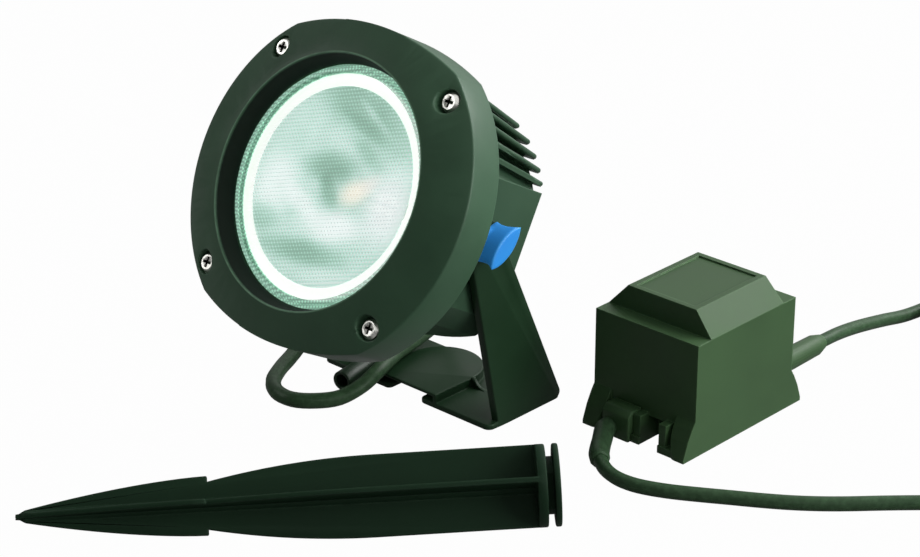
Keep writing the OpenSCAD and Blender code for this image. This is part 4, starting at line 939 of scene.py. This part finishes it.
class PONDLIGHT_OT_stage(bpy.types.Operator):
    """Set up the pale floor, the white surround and the soft studio lamps"""
    bl_idname = "pondlight.stage"
    bl_label = "Stage"

    def execute(self, context):
        free()
        bpy.ops.mesh.primitive_plane_add(size=FLOOR_SIZE, location=(0, 0, FLOOR_LEVEL))
        floor = context.object
        floor.name = "studio_floor"
        bpy.ops.object.transform_apply(location=True, rotation=True, scale=True)
        f = Finish("studio_paper")
        paper = f.node("ShaderNodeBsdfDiffuse", {}, {"Color": PAPER})
        backdrop = f.node("ShaderNodeEmission", {}, {"Color": (1, 1, 1)})
        mirrored = f.rays("Is Glossy Ray", "Is Transmission Ray")
        shown = PAPER_SEEN * f.rays("Is Camera Ray") + PAPER_MIRRORED * mirrored
        wear(floor, f.surface(f.node("ShaderNodeMixShader", {}, {0: shown, 1: paper, 2: backdrop})))

        world = bpy.data.worlds.new("studio_surround")
        context.scene.world = world
        world.use_nodes = True
        w = Tree(world.node_tree)
        way = w.node("ShaderNodeTexCoord", out="Generated")
        falling = w.span(w.towards(way, LIGHT_FROM), -0.1, 1.0, 0.005, 0.20)
        mirrored = w.span(w.towards(way, MIRRORED_FROM), -0.3, 0.9, 0.04, 1.0)
        gloss = w.rays("Is Glossy Ray", "Is Transmission Ray")
        seen = w.rays("Is Camera Ray")
        strength = (falling * (1 - gloss) + mirrored * gloss) * (1 - seen) + seen
        surround = w.node("ShaderNodeBackground", {}, {"Color": (1, 1, 1), "Strength": strength})
        w.node("ShaderNodeOutputWorld", {}, {"Surface": surround})

        for name, place, size, watts in LAMPS:
            free()
            bpy.ops.object.light_add(type="AREA", location=place)
            lamp = context.object
            lamp.name = name
            lamp.data.shape = "SQUARE"
            lamp.data.size = size
            lamp.data.energy = watts
            lamp.rotation_euler = (LAMP_AIM - Vector(place)).to_track_quat("-Z", "Y").to_euler()
        context.scene.view_settings.view_transform = "Standard"
        return {"FINISHED"}


class PONDLIGHT_PT_panel(bpy.types.Panel):
    """Sidebar panel of the pond light set"""
    bl_idname = "PONDLIGHT_PT_panel"
    bl_label = "Pond Light"
    bl_space_type = "VIEW_3D"
    bl_region_type = "UI"
    bl_category = "Pond Light"

    def draw(self, context):
        layout = self.layout
        for group in (context.scene.pond_light_finishes, context.scene.pond_light_leads):
            box = layout.box()
            for name in group.__annotations__:
                box.prop(group, name)
        for step in STEPS:
            layout.operator(step.bl_idname)


STEPS = (PONDLIGHT_OT_camera, PONDLIGHT_OT_leads, PONDLIGHT_OT_finishes, PONDLIGHT_OT_mouldings,
         PONDLIGHT_OT_fin_edges, PONDLIGHT_OT_glass, PONDLIGHT_OT_sleeve, PONDLIGHT_OT_stage)
CLASSES = (PondLightFinishes, PondLightLeads, *STEPS, PONDLIGHT_PT_panel)


def register():
    for each in CLASSES:
        bpy.utils.register_class(each)
    bpy.types.Scene.pond_light_finishes = PointerProperty(type=PondLightFinishes)
    bpy.types.Scene.pond_light_leads = PointerProperty(type=PondLightLeads)


def unregister():
    del bpy.types.Scene.pond_light_leads
    del bpy.types.Scene.pond_light_finishes
    for each in reversed(CLASSES):
        bpy.utils.unregister_class(each)


def main():
    register()
    for step in STEPS:
        group, call = step.bl_idname.split(".")
        getattr(getattr(bpy.ops, group), call)()


if __name__ == "__main__":
    main()
